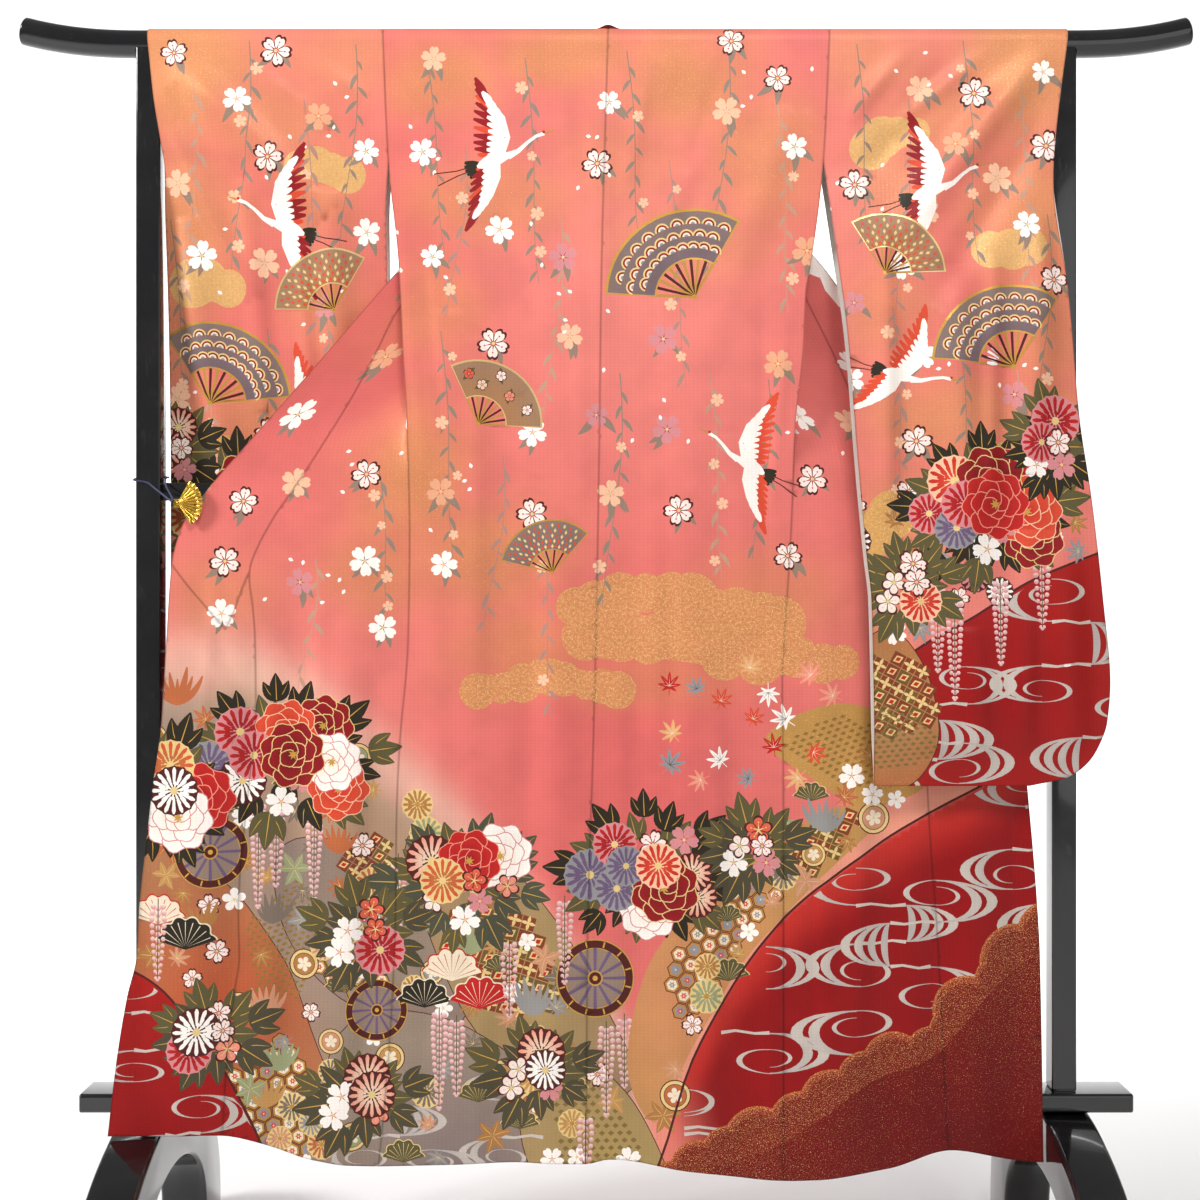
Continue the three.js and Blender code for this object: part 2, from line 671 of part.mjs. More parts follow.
// The pleated fan, drawn flat in x and z around its pivot, then pulled out along y.
function fan() {
  const shape = new THREE.Shape();
  const degrees = Math.PI / 180;
  const from = (-CLIP.open + CLIP.turn) * degrees;
  const to = (CLIP.open + CLIP.turn) * degrees;
  const heel = 4.5;
  shape.moveTo(-heel, -heel);
  const steps = CLIP.ribs * 2;
  for (let i = 0; i <= steps; i += 1) {
    const angle = lerp(from, to, i / steps);
    const reach = CLIP.radius - (i % 2 ? 0 : 1.6);
    shape.lineTo(reach * Math.cos(angle), reach * Math.sin(angle));
  }
  shape.lineTo(-heel, heel);
  shape.lineTo(-heel, -heel);
  const geometry = new THREE.ExtrudeGeometry(shape, { depth: CLIP.thick, bevelEnabled: false });
  return geometry.rotateX(Math.PI / 2);
}

// The jaw behind the cloth, with the knuckle that joins it to the fan.
function jaw(gap) {
  const shape = new THREE.Shape();
  const knuckle = 5;
  const reach = 30;
  const thick = 2;
  shape.moveTo(-knuckle, 0);
  shape.lineTo(knuckle, 0);
  shape.lineTo(knuckle, gap - thick);
  shape.lineTo(reach, gap - thick);
  shape.lineTo(reach, gap);
  shape.lineTo(-knuckle, gap);
  shape.lineTo(-knuckle, 0);
  const wide = 12;
  return new THREE.ExtrudeGeometry(shape, { depth: wide, bevelEnabled: false }).translate(
    0,
    0,
    -wide / 2
  );
}

// The cord that ties the clip's pivot to the left post, once round it above the middle rail.
function tieCord() {
  const radius = 1.3;
  const out = POST_SIZE / 2 + radius + 0.4;
  const start = new THREE.Vector3(CLIP.x - 6.6, CLIP.y - 1.5, CLIP.z + 1);
  const end = new THREE.Vector3(CLIP.x - 6.6, CLIP.y + 4.5, CLIP.z + 4);
  const path = new THREE.CatmullRomCurve3(
    [
      start,
      new THREE.Vector3(-POST_X + out * 0.6, -out - 6, CLIP.z + 24),
      new THREE.Vector3(-POST_X, -out - 0.6, CLIP.z + 32),
      new THREE.Vector3(-POST_X - out, -out, CLIP.z + 36),
      new THREE.Vector3(-POST_X - out - 0.4, 0, CLIP.z + 40),
      new THREE.Vector3(-POST_X - out, out, CLIP.z + 43),
      new THREE.Vector3(-POST_X, out + 0.6, CLIP.z + 44),
      new THREE.Vector3(-POST_X + out, out, CLIP.z + 43),
      new THREE.Vector3(-POST_X + out + 2, 0, CLIP.z + 40),
      new THREE.Vector3(-POST_X + out + 7, -22, CLIP.z + 30),
      end,
    ],
    false,
    "centripetal"
  );
  const sides = 6;
  const section = new THREE.Shape();
  for (let i = 0; i <= sides; i += 1) {
    const angle = (i / sides) * 2 * Math.PI;
    const x = radius * Math.cos(angle);
    const y = radius * Math.sin(angle);
    if (i) section.lineTo(x, y);
    else section.moveTo(x, y);
  }
  return new THREE.ExtrudeGeometry(section, { steps: 40, extrudePath: path });
}

// ---------------------------------------------------------------- assembly
const silk = (color) => new THREE.MeshStandardMaterial({ color, roughness: 0.62 });
const lacquer = () =>
  new THREE.MeshStandardMaterial({ color: 0x0b0a0c, roughness: 0.12, metalness: 0.05 });
const brass = () =>
  new THREE.MeshStandardMaterial({ color: 0xc39a3c, roughness: 0.3, metalness: 0.9 });

function part(name, geometry, material, position = [0, 0, 0]) {
  const mesh = new THREE.Mesh(geometry, material);
  mesh.name = name;
  mesh.position.set(...position);
  return mesh;
}

function robe() {
  const group = new THREE.Group();
  const pink = 0xdd6e6e;
  for (const side of [LEFT, RIGHT]) {
    const folds = side === LEFT ? LEFT_SLEEVE_FOLDS : RIGHT_SLEEVE_FOLDS;
    const farFolds = side === LEFT ? LEFT_FAR_FOLDS : RIGHT_FAR_FOLDS;
    group.add(
      part(`back_${side.name}`, backPanel(side), silk(pink)),
      part(`front_${side.name}`, frontPanel(side), silk(pink)),
      part(`okumi_${side.name}`, gusset(side), silk(pink)),
      part(`collar_${side.name}`, collar(side), silk(pink)),
      part(`sleeve_${side.name}_near`, sleeveLayer(side, -1, folds), silk(pink)),
      part(`sleeve_${side.name}_far`, sleeveLayer(side, 1, farFolds), silk(pink))
    );
  }
  group.add(part("collar_neck", collarMiddle(), silk(pink)));
  return group;
}

function stand() {
  const group = new THREE.Group();
  const inner = 2 * (POST_X - POST_SIZE / 2 - REST);
  const midMiddle = (MID_RAIL.low + MID_RAIL.high) / 2;
  const lowerMiddle = (LOWER_RAIL.low + LOWER_RAIL.high) / 2;
  group.add(
    part("top_bar", topBar(), lacquer()),
    part("mid_rail", box(inner, MID_RAIL.deep, MID_RAIL.high - MID_RAIL.low), lacquer(), [
      0,
      0,
      midMiddle,
    ]),
    part(
      "lower_rail",
      box(2 * LOWER_RAIL.half, LOWER_RAIL.deep, LOWER_RAIL.high - LOWER_RAIL.low),
      lacquer(),
      [0, 0, lowerMiddle]
    )
  );
  for (const side of [LEFT, RIGHT]) {
    group.add(
      part(`post_${side.name}`, post(), lacquer(), [side.way * POST_X, 0, 0]),
      part(`foot_${side.name}`, foot(), lacquer(), [side.way * POST_X, 0, 0])
    );
  }
  return group;
}

function clip() {
  const group = new THREE.Group();
  const toJaw = 15;
  const navy = new THREE.MeshStandardMaterial({ color: 0x20244f, roughness: 0.8 });
  group.add(
    part("clip_fan", fan(), brass(), [CLIP.x, CLIP.y, CLIP.z]),
    part("clip_jaw", jaw(toJaw), brass(), [CLIP.x, CLIP.y + REST, CLIP.z]),
    part("tie_cord", tieCord(), navy)
  );
  return group;
}

const furisode = new THREE.Group();
furisode.add(robe(), stand(), clip());

export default furisode;
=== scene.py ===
"""The looks of a furisode, a long-sleeved silk kimono, hung over a black lacquered stand.

Lengths inside the robe's formulas are millimetres and become metres in its meshes.
A piece of cloth is laid out flat first, as dyed cloth is: u runs across it and v up it. Its
outline, its picture and its ground are drawn there, and its surface carries them into place.
"""

import functools
import math

import bpy
import numpy as np
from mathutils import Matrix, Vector
from mathutils.geometry import delaunay_2d_cdt


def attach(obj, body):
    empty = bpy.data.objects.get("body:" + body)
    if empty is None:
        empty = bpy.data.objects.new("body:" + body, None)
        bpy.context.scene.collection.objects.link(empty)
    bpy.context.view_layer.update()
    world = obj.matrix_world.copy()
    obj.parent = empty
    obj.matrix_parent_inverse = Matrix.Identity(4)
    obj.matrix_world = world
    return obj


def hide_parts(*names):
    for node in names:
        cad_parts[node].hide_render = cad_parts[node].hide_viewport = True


bl_info = {
    "name": "Furisode on a Kimono Stand",
    "version": (1, 0, 0),
    "blender": (4, 5, 0),
    "location": "3D View > Sidebar > Furisode",
    "description": "Builds a dyed silk kimono hung over its black lacquered stand",
    "category": "Add Mesh",
}

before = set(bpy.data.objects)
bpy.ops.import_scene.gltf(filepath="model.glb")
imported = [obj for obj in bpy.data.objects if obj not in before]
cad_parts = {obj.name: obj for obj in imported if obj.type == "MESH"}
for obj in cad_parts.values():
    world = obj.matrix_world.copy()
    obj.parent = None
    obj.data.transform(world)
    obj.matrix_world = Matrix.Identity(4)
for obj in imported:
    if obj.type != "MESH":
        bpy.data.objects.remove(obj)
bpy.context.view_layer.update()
MM = 0.001

# ---------------------------------------------------------------- sizes of the frame
CLOTH = 1.6
SEAM = 0.3
NECK_HUMP = (13.0, 7.5)
MID_RAIL = (9.0, 1146.0, 1172.0)
LOWER_RAIL = (34.0, 255.3, 283.0)
LOWER_RAIL_HALF = 765.0
FOOT_HALF_WIDE = 36.0
FOCAL_PIXELS = 1632
FRAME_PIXELS = 1200
REST = 0.3
EDGE_CLEAR = 1.8
SIDE_LAP = 0.45
LAP_Z = 1290.0
BAR_RADIUS = 20.0
BAR_HEIGHT = 1817.0
BAR_HALF = 853.0
BAR_STRAIGHT_HALF = 678.0
BAR_LIFT = 19.0
POST_X = 669.0
POST_SIZE = 36.0
NECK_X = 3.0
ARMHOLE_Z = 1640.0
OPENING_Z = 1487.0
WAIST_Z = 1078.0
KENSAKI_Z = 1042.0
SADDLE = BAR_RADIUS + REST + CLOTH / 2 + SEAM
TOP_V = BAR_HEIGHT + SADDLE * math.pi / 2


# ---------------------------------------------------------------- small maths
def lerp(a, b, t):
    return a + (b - a) * t


def smooth(start, end, value):
    t = np.clip((value - start) / (end - start), 0, 1)
    return t * t * (3 - 2 * t)


def unit(vectors):
    """Each vector at length 1, where it has a length."""
    return vectors / np.maximum(np.linalg.norm(vectors, axis=-1, keepdims=True), 1e-9)


def to_left(run):
    """Vectors turned a quarter to the left."""
    return np.stack([-run[:, 1], run[:, 0]], -1)


def run_length(line):
    """How far along a line each of its points is."""
    return np.concatenate([[0], np.cumsum(np.linalg.norm(np.diff(line, axis=0), axis=1))])


def point_at(share, shares, line):
    """The points of a line where its shares have the values share."""
    return np.stack([np.interp(share, shares, line[:, axis]) for axis in (0, 1)], -1)


def curve_through(rows, column=1):
    """A smooth curve through rows of (key, value), flat beyond both ends: cubic between two
    rows, with each row's slope the harmonic mean of its neighbours' slopes."""
    table = np.array(sorted(rows, key=lambda row: row[0]), float)
    key, value = table[:, 0], table[:, column]
    rise = np.diff(value) / np.diff(key)
    slope = np.concatenate([rise[:1], np.zeros(len(rise) - 1), rise[-1:]])
    before, after = rise[:-1], rise[1:]
    same = before * after > 0
    slope[1:-1][same] = (2 * before * after)[same] / (before + after)[same]

    def read(at):
        at = np.clip(at, key[0], key[-1])
        i = np.clip(np.searchsorted(key, at, side="right") - 1, 0, len(rise) - 1)
        width = key[i + 1] - key[i]
        t = (at - key[i]) / width
        s = 1 - t
        return (
            value[i] * (1 + 2 * t) * s * s
            + value[i + 1] * (3 - 2 * t) * t * t
            + (slope[i] * s - slope[i + 1] * t) * width * t * s
        )

    return read


# ---------------------------------------------------------------- seam lines of the robe
back_seam = curve_through(
    [(1838, 3), (1440, -7.5), (1260, -9.6), (940, -15), (785, -19), (505, -27), (184, -29)]
)
back_depth = curve_through(
    [
        (1817, -21.5), (1740, -23), (1640, -24), (1487, -27), (1290, -30), (1042, -32),
        (735, -40), (400, -50), (184, -60),
    ]
)
hem = curve_through(
    [
        (-707, 241), (-630, 240), (-550, 238), (-417, 199), (-324, 188), (-132, 193), (-29, 191),
        (3, 197), (117, 181), (259, 167), (404, 182), (495, 207), (605, 190), (640, 188),
    ]
)
# z, then the reach sideways and backwards of the handle at a front's side edge, then the
# same at its outer edge
SLACK = [
    (1817, 98, 0, -98, 0), (1740, 75, -3, -70, -6), (1640, 80, -20, 45, -16),
    (1560, 80, -17, 90, -8), (1487, 110, 4, 120, 10), (1431, 110, 8, 150, 25),
    (1360, 90, 10, 160, 38), (1290, 45, 12, 170, 42), (1230, 0, 14, 150, 26),
    (1172, -40, 5, 120, 14), (1120, -80, 1, 110, 6), (1078, -105, -4, 105, 4),
    (230, -115, -6, 115, 5),
]
handles = [curve_through(SLACK, column) for column in (1, 2, 3, 4)]
FRONT_SIDE = [(1817, 21.5), (1740, 21.5), (1640, 20), (1590, 10), (1540, -8), (1487, -24.7)]


class Side:
    """One side of the robe: its seam lines as curves of the height z."""

    def __init__(self, name, way, side, strip, edge, notch, inner, outer, outer_far, space, shut):
        self.name, self.way = name, way
        self.side_x = curve_through(side)
        self.front_side_y = curve_through(FRONT_SIDE)
        self.strip = curve_through(strip)
        self.edge_x, self.edge_y = curve_through(edge), curve_through(edge, 2)
        self.notch = notch
        self.inner_x = curve_through(inner)
        self.outer_x, self.outer_far_x = curve_through(outer), curve_through(outer_far)
        self.open_middle, self.open_half = curve_through(space), curve_through(space, 2)
        self.shut_middle, self.shut_half = curve_through(shut), curve_through(shut, 2)


LEFT = Side(
    "left", -1,
    side=[
        (1838, -326), (1640, -317), (1487, -301), (1365, -295), (1260, -289), (1095, -285),
        (940, -287), (785, -299), (680, -303), (545, -304), (390, -310), (235, -322), (184, -327),
    ],
    strip=[
        (1838, 60), (1740, 64), (1640, 56), (1560, 36), (1487, 44), (1431, 48), (1360, 70),
        (1290, 92), (1230, 107), (1172, 120), (1120, 125), (1078, 118), (1042, 112), (980, 122),
        (922, 127), (740, 135), (660, 136), (545, 140), (430, 150), (315, 156), (230, 161),
    ],
    edge=[
        (1838, -14, 0), (1817, -32, 21.5), (1740, -95, 13), (1640, -176, 3), (1560, -241, -5),
        (1487, -301, -12), (1431, -348, -18), (1360, -407, -25), (1290, -466, -32),
        (1230, -517, -38), (1157, -578, -45), (1110, -610, -50), (1052, -625, -55),
        (948, -631, -60), (826, -637, -64), (740, -648, -67), (660, -657, -70), (570, -666, -74),
        (490, -670, -77), (435, -682, -80), (340, -696, -86), (238, -706, -93),
    ],
    notch=(0.33, 958, 1052),
    inner=[(1640, -317), (1560, -322), (735, -322)],
    outer=[
        (1838, -671), (1735, -660), (1665, -649.5), (1633, -646), (1560, -648), (900, -648.5),
        (840, -644), (790, -628), (760, -600), (742, -562), (735, -520),
    ],
    outer_far=[
        (1838, -671), (1817, -668), (1780, -648.7), (1633, -646), (1560, -648), (900, -648.5),
        (840, -644), (790, -628), (760, -600), (742, -562), (735, -520),
    ],
    space=[
        (1817, 0, 20.5), (1740, -1, 21.5), (1640, 0, 21), (1600, 4, 20.5), (1540, 12, 19),
        (1480, 19, 17), (1431, 24, 16), (1290, 32, 15), (1200, 34, 15), (735, 34, 14),
    ],
    shut=[
        (1817, 0, 20.5), (1780, 0, 20.5), (1740, -5.5, 16.5), (1700, -10, 11), (1660, -15, 3),
        (1633, -12, 0), (1560, 0, 0), (1480, 11, 0), (1400, 20, 0), (1290, 28, 0),
        (1200, 32, 0), (735, 34, 0),
    ],
)
RIGHT = Side(
    "right", 1,
    side=[
        (1838, 326), (1640, 316), (1487, 297), (1450, 290), (1365, 286), (1250, 274),
        (1095, 268), (1000, 262), (880, 255), (740, 256), (170, 254),
    ],
    strip=[
        (1838, 56), (1740, 64), (1640, 62), (1560, 46), (1487, 50), (1431, 61), (1360, 77),
        (1290, 98), (1190, 125), (1120, 132), (1078, 125), (1042, 128), (980, 130), (740, 145),
        (625, 148), (508, 147), (393, 144), (200, 138),
    ],
    edge=[
        (1838, 20, 0), (1817, 39, 21.5), (1740, 105, 16), (1640, 191, 9), (1560, 259, 4),
        (1487, 322, -1), (1431, 361, -5), (1360, 412, -10), (1290, 463, -15), (1230, 507, -19),
        (1157, 560, -24), (1110, 575, -27), (1052, 585, -30), (948, 592, -31), (735, 610, -36),
        (570, 623, -40), (490, 627, -42), (190, 631, -47),
    ],
    notch=(0.36, 962, 1052),
    inner=[
        (1640, 316), (1477, 335), (1390, 345), (1217, 357), (1058, 370), (1000, 376), (735, 381),
    ],
    outer=[
        (1838, 675), (1604, 650.5), (1448, 669), (1260, 682), (1145, 697), (1000, 711),
        (884, 720), (825, 715), (790, 702), (770, 689), (747, 658), (735, 604),
    ],
    outer_far=[
        (1838, 675), (1817, 670), (1780, 648.7), (1640, 647.5), (1604, 650), (1448, 669),
        (1260, 682), (1145, 697), (1000, 711), (884, 720), (825, 715), (790, 702), (770, 689),
        (747, 658), (735, 604),
    ],
    space=[
        (1817, 0, 20.5), (1740, -1, 21.5), (1640, -2, 21), (1580, -12.5, 20), (1480, -30.5, 18),
        (1390, -42.5, 16), (1300, -52.5, 15), (1150, -60.5, 15), (1000, -69.5, 14),
        (735, -73.5, 13),
    ],
    shut=[
        (1817, 0, 20.5), (1780, 0, 20.5), (1740, -6, 16), (1680, -16.5, 7.5), (1604, -26, 0),
        (1448, -36, 0), (1300, -46, 0), (1145, -56, 0), (1000, -64, 0), (884, -68, 0),
        (735, -72, 0),
    ],
)
SLEEVE_BOTTOM = 735.0

# ---------------------------------------------------------------- folds
# Each fold is a line: x and z of its two ends, its half width and its depth, where minus
# comes towards the viewer of the robe's back.
SKIRT_FOLDS = [
    (-236, 1420, -206, 120, 40, -6), (-150, 1560, -128, 100, 36, 5),
    (-62, 1240, -84, 90, 30, -5), (52, 1330, 40, 90, 34, 5), (128, 1500, 118, 110, 38, -6),
    (205, 1260, 190, 90, 34, 5), (-120, 1800, -30, 1480, 34, 3), (120, 1800, 40, 1500, 34, 3),
    (-372, 1010, -380, 80, 36, -9), (-446, 1060, -470, 90, 30, 8),
    (-590, 900, -610, 160, 30, -5), (330, 980, 322, 70, 30, -5), (415, 1040, 404, 90, 30, 4),
    (545, 900, 552, 100, 30, -4),
]
LEFT_SLEEVE_FOLDS = [
    (-668, 1842, -410, 1560, 24, -13), (-640, 1742, -430, 1470, 22, 6),
    (-560, 1850, -360, 1640, 20, 5), (-628, 1560, -560, 1180, 26, -12),
    (-500, 1500, -470, 1120, 26, 6), (-400, 1600, -396, 1200, 24, -10),
    (-560, 1120, -548, 700, 40, 6), (-600, 1846, -400, 1690, 14, -7),
    (-500, 1846, -350, 1730, 14, -7), (-640, 1690, -520, 1440, 14, -7),
    (-530, 1620, -500, 1280, 16, -6), (-450, 1520, -430, 1200, 12, -5),
]
RIGHT_SLEEVE_FOLDS = [
    (664, 1842, 420, 1520, 24, -13), (648, 1720, 470, 1420, 22, 6),
    (545, 1850, 380, 1620, 20, 5), (640, 1560, 600, 1180, 28, -12),
    (500, 1480, 512, 1020, 30, -12), (570, 1380, 596, 900, 28, 6),
    (430, 1420, 440, 720, 26, 6), (650, 1100, 662, 760, 28, -9),
    (600, 1846, 410, 1680, 14, -7), (470, 1846, 350, 1700, 14, -7),
    (400, 1560, 400, 1120, 16, -7), (560, 1500, 548, 1150, 14, -6),
    (430, 1100, 452, 780, 18, -7), (600, 1100, 590, 780, 20, -8), (520, 960, 530, 770, 18, -6),
]
LEFT_FAR_FOLDS = [
    (-655, 1842, -450, 1500, 28, 6), (-540, 1800, -380, 1450, 26, -5),
    (-590, 1500, -600, 780, 34, 6), (-470, 1400, -450, 720, 34, -6),
    (-380, 1350, -372, 800, 30, 5),
]
RIGHT_FAR_FOLDS = [
    (655, 1842, 460, 1540, 28, 6), (560, 1780, 400, 1480, 26, -4),
    (620, 1480, 640, 800, 34, 4), (500, 1380, 490, 760, 34, 4), (410, 1200, 420, 740, 30, -4),
]
# Slender creases that the soft folds above leave out.
BACK_CREASES = [
    (-300, 1560, -262, 1180, 12, -2.6), (-268, 1500, -236, 1230, 9, 2.0),
    (-190, 1380, -186, 820, 15, -2.6), (-100, 1180, -112, 560, 17, 2.8),
    (-40, 1600, -34, 1120, 13, -2.0), (26, 980, 14, 380, 18, -3.0), (84, 1280, 96, 700, 14, 2.4),
    (160, 900, 152, 260, 16, -3.0), (226, 1450, 232, 1010, 12, 2.4),
    (262, 1420, 240, 1120, 10, -2.0), (-60, 1826, -22, 1560, 14, 2.0),
    (70, 1826, 30, 1600, 11, -2.0), (180, 1820, 120, 1620, 15, 2.4),
    (-190, 1822, -150, 1640, 13, -2.2), (-250, 700, -262, 240, 18, 3.2),
    (-170, 620, -190, 210, 14, -2.6), (120, 560, 128, 200, 14, 2.4),
    (240, 640, 236, 190, 15, -2.8), (-330, 900, -352, 300, 16, 3.4),
    (-410, 1040, -430, 420, 13, -3.0), (-500, 980, -540, 300, 18, 4.0),
    (-560, 1060, -600, 560, 12, -2.8), (-650, 700, -668, 300, 14, 2.6),
    (300, 760, 296, 230, 14, 2.8), (372, 900, 360, 250, 16, -3.2), (470, 700, 478, 220, 17, 3.2),
    (590, 880, 596, 300, 14, 2.6), (-520, 1090, -330, 900, 14, 3.2),
    (-560, 1060, -420, 860, 11, -2.8), (-600, 1030, -480, 760, 14, 3.2),
    (-280, 1700, -120, 1300, 30, -4.5), (270, 1720, 140, 1330, 28, -4.5),
    (-140, 1000, -160, 300, 26, -4.5), (70, 1150, 60, 500, 24, -4.0),
    (-10, 1780, -8, 1250, 20, -3.5), (190, 1240, 214, 640, 24, -4.0),
    (-230, 1180, -214, 560, 22, 4.0), (-545, 900, -585, 420, 24, -5.0),
    (-460, 820, -486, 260, 20, -4.5), (520, 760, 534, 230, 24, -4.5),
    (340, 1000, 330, 420, 18, 3.5), (150, 1640, 60, 1420, 16, 3.0),
    (-170, 1620, -90, 1400, 15, 3.0),
]


def fold_depth(folds, x, z):
    """How far folds move the cloth: each fold's depth times a bell across its line times a
    half circle along it."""
    depth = np.zeros(np.shape(x))
    for x0, z0, x1, z1, wide, deep in folds:
        length = math.hypot(x1 - x0, z1 - z0)
        along_x, along_z = (x1 - x0) / length, (z1 - z0) / length
        along = np.clip(((x - x0) * along_x + (z - z0) * along_z) / length, 0, 1)
        aside = ((x - x0) * along_z - (z - z0) * along_x) / wide
        depth = depth + deep * np.exp(-aside * aside) * np.sqrt(4 * along * (1 - along))
    return depth


# ---------------------------------------------------------------- surfaces of the robe
def over_bar(v):
    """Height of cloth at v, and how far it stands off the bar's middle plane: v is the height
    up to the bar's middle, and the arc round the bar above it."""
    angle = math.pi / 2 - np.maximum(v - BAR_HEIGHT, 0) / SADDLE
    return np.where(v > BAR_HEIGHT, BAR_HEIGHT + SADDLE * np.cos(angle), v), SADDLE * np.sin(angle)


def all_folds(x, z):
    creases = bpy.context.scene.furisode_silk.creases
    return fold_depth(SKIRT_FOLDS, x, z) + creases * fold_depth(BACK_CREASES, x, z)


def back_y(x, z):
    folds = all_folds(x, z)
    return back_depth(z) + folds * smooth(BAR_HEIGHT, 1700, z)


def back_surface(u, v):
    """The back hangs straight down: x is u, and y is the table's depth and the folds."""
    z, over = over_bar(v)
    return np.stack([u, np.where(v > BAR_HEIGHT, -over, back_y(u, z)), z], -1)


def spread_fold(x, z):
    return all_folds(x, z) * smooth(1160, 1020, z)


def side_shift(z):
    """How far a side seam stands off its line: more where the front laps behind."""
    lap = smooth(WAIST_Z, LAP_Z, z) * smooth(ARMHOLE_Z, ARMHOLE_Z - 60, z)
    return SEAM / 2 + SIDE_LAP * lap


class FrontSurface:
    """A front with its collar: at each height one Bezier curve from the side seam to the outer
    edge, read by its arc length, so that the cloth keeps its width where it folds away."""

    low, step, samples, share = 150.0, 5.0, 240, 160

    def __init__(self, side):
        self.side = side
        v = np.arange(self.low, TOP_V + self.step, self.step)
        z, over = over_bar(v)
        saddle = v > BAR_HEIGHT
        x = side.side_x(z)
        lap = smooth(WAIST_Z, LAP_Z, z)
        behind = back_depth(z) + fold_depth(SKIRT_FOLDS, x, z) * smooth(BAR_HEIGHT, 1700, z)
        sewn = behind + lap * (CLOTH + 2 * SEAM)
        hung = lerp(sewn, side.front_side_y(z), smooth(OPENING_Z, 1530, z))
        y = np.where(saddle, over, np.where(z > OPENING_Z, hung, sewn))
        start = np.stack([x + side.way * side_shift(z), y, z], -1)
        edge_y = np.where(saddle, over, side.edge_y(z) + EDGE_CLEAR)
        end = np.stack([side.edge_x(z), edge_y, z], -1)
        reach = [np.where(saddle, top, h(z)) for h, top in zip(handles, (98, 0, -98, 0))]
        first = start + np.stack([-side.way * reach[0], reach[1], 0 * z], -1)
        second = end + np.stack([-side.way * reach[2], reach[3], 0 * z], -1)
        t = np.linspace(0, 1, self.samples)[None, :, None]
        line = (
            start[:, None] * (1 - t) ** 3
            + first[:, None] * 3 * t * (1 - t) ** 2
            + second[:, None] * 3 * t * t * (1 - t)
            + end[:, None] * t**3
        )
        pieces = np.linalg.norm(np.diff(line, axis=1), axis=2)
        run = np.concatenate([np.zeros((len(v), 1)), np.cumsum(pieces, axis=1)], axis=1)
        length = run[:, -1]
        even = np.linspace(0, 1, self.share)
        grid = np.empty((len(v), self.share, 3))
        for row in range(len(v)):
            for axis in range(3):
                grid[row, :, axis] = np.interp(even * length[row], run[row], line[row, :, axis])
        inside = smooth(0, 0.15, even)[None, :]
        grid[:, :, 1] += spread_fold(grid[:, :, 0], grid[:, :, 2]) * inside
        self.grid, self.length = grid, length
        self.seam = 1 - side.strip(z) / length

    def row(self, v, values):
        return np.interp(v, self.low + self.step * np.arange(len(values)), values)

    def u_at(self, share, v):
        """Where a share of the way along the curve lies on the flat cloth."""
        z, _ = over_bar(v)
        return self.side.side_x(z) + self.side.way * share * self.row(v, self.length)

    def seam_u(self, v):
        return self.u_at(self.row(v, self.seam), v)

    def __call__(self, u, v):
        z, _ = over_bar(v)
        share = self.side.way * (u - self.side.side_x(z)) / self.row(v, self.length)
        across = np.clip(share, 0, 1) * (self.share - 1)
        up = np.clip((v - self.low) / self.step, 0, len(self.length) - 1.001)
        column = np.minimum(across.astype(int), self.share - 2)
        row = up.astype(int)
        s, t = (across - column)[..., None], (up - row)[..., None]
        grid = self.grid
        lower = lerp(grid[row, column], grid[row, column + 1], s)
        upper = lerp(grid[row + 1, column], grid[row + 1, column + 1], s)
        return lerp(lower, upper, t)


def sleeve_surface(side, near, folds):
    """One layer of a sleeve: midway between the layers, plus or minus half their space, which
    closes at the fold on the outer edge and at the sewn bottom, plus the folds. The layer
    behind is laid out as seen from behind, so its u is minus x."""
    outer_x = side.outer_x if near < 0 else side.outer_far_x

    def edges(z):
        inner = np.where(z >= ARMHOLE_Z, side.side_x(z), side.inner_x(z)) + side.way * SEAM / 2
        return inner, outer_x(z)

    def surface(u, v):
        z, over = over_bar(v)
        x = -near * u
        inner, outer = edges(z)
        t = np.clip((x - inner) / (outer - inner), 0, 1)
        space = lerp(side.open_half(z), side.shut_half(z), t)
        space = space + 7 * np.sin(math.pi * t) * smooth(1700, 1450, z)
        sewn = smooth(SLEEVE_BOTTOM, SLEEVE_BOTTOM + 90, z)
        fold = fold_depth(folds, x, z) * smooth(BAR_HEIGHT, 1720, z) * sewn
        fold = fold * smooth(0, 0.12, 1 - t)
        free = np.clip(smooth(1640, 1560, z) + smooth(0, 0.2, t), 0, 1)
        middle = lerp(side.open_middle(z), side.shut_middle(z), t)
        y = middle + near * ((CLOTH + SEAM) / 2 + space * sewn) + fold * free
        return np.stack([x, np.where(v > BAR_HEIGHT, near * over, y), z], -1)

    surface.edges = edges
    return surface


# ---------------------------------------------------------------- outlines on the flat cloth
def levels(low, high, step=8.0):
    return np.linspace(low, high, max(2, int(round((high - low) / step)) + 1))


def back_outline(side):
    return panel_outline(back_seam, lambda z: side.side_x(z) + side.way * side_shift(z), hem)


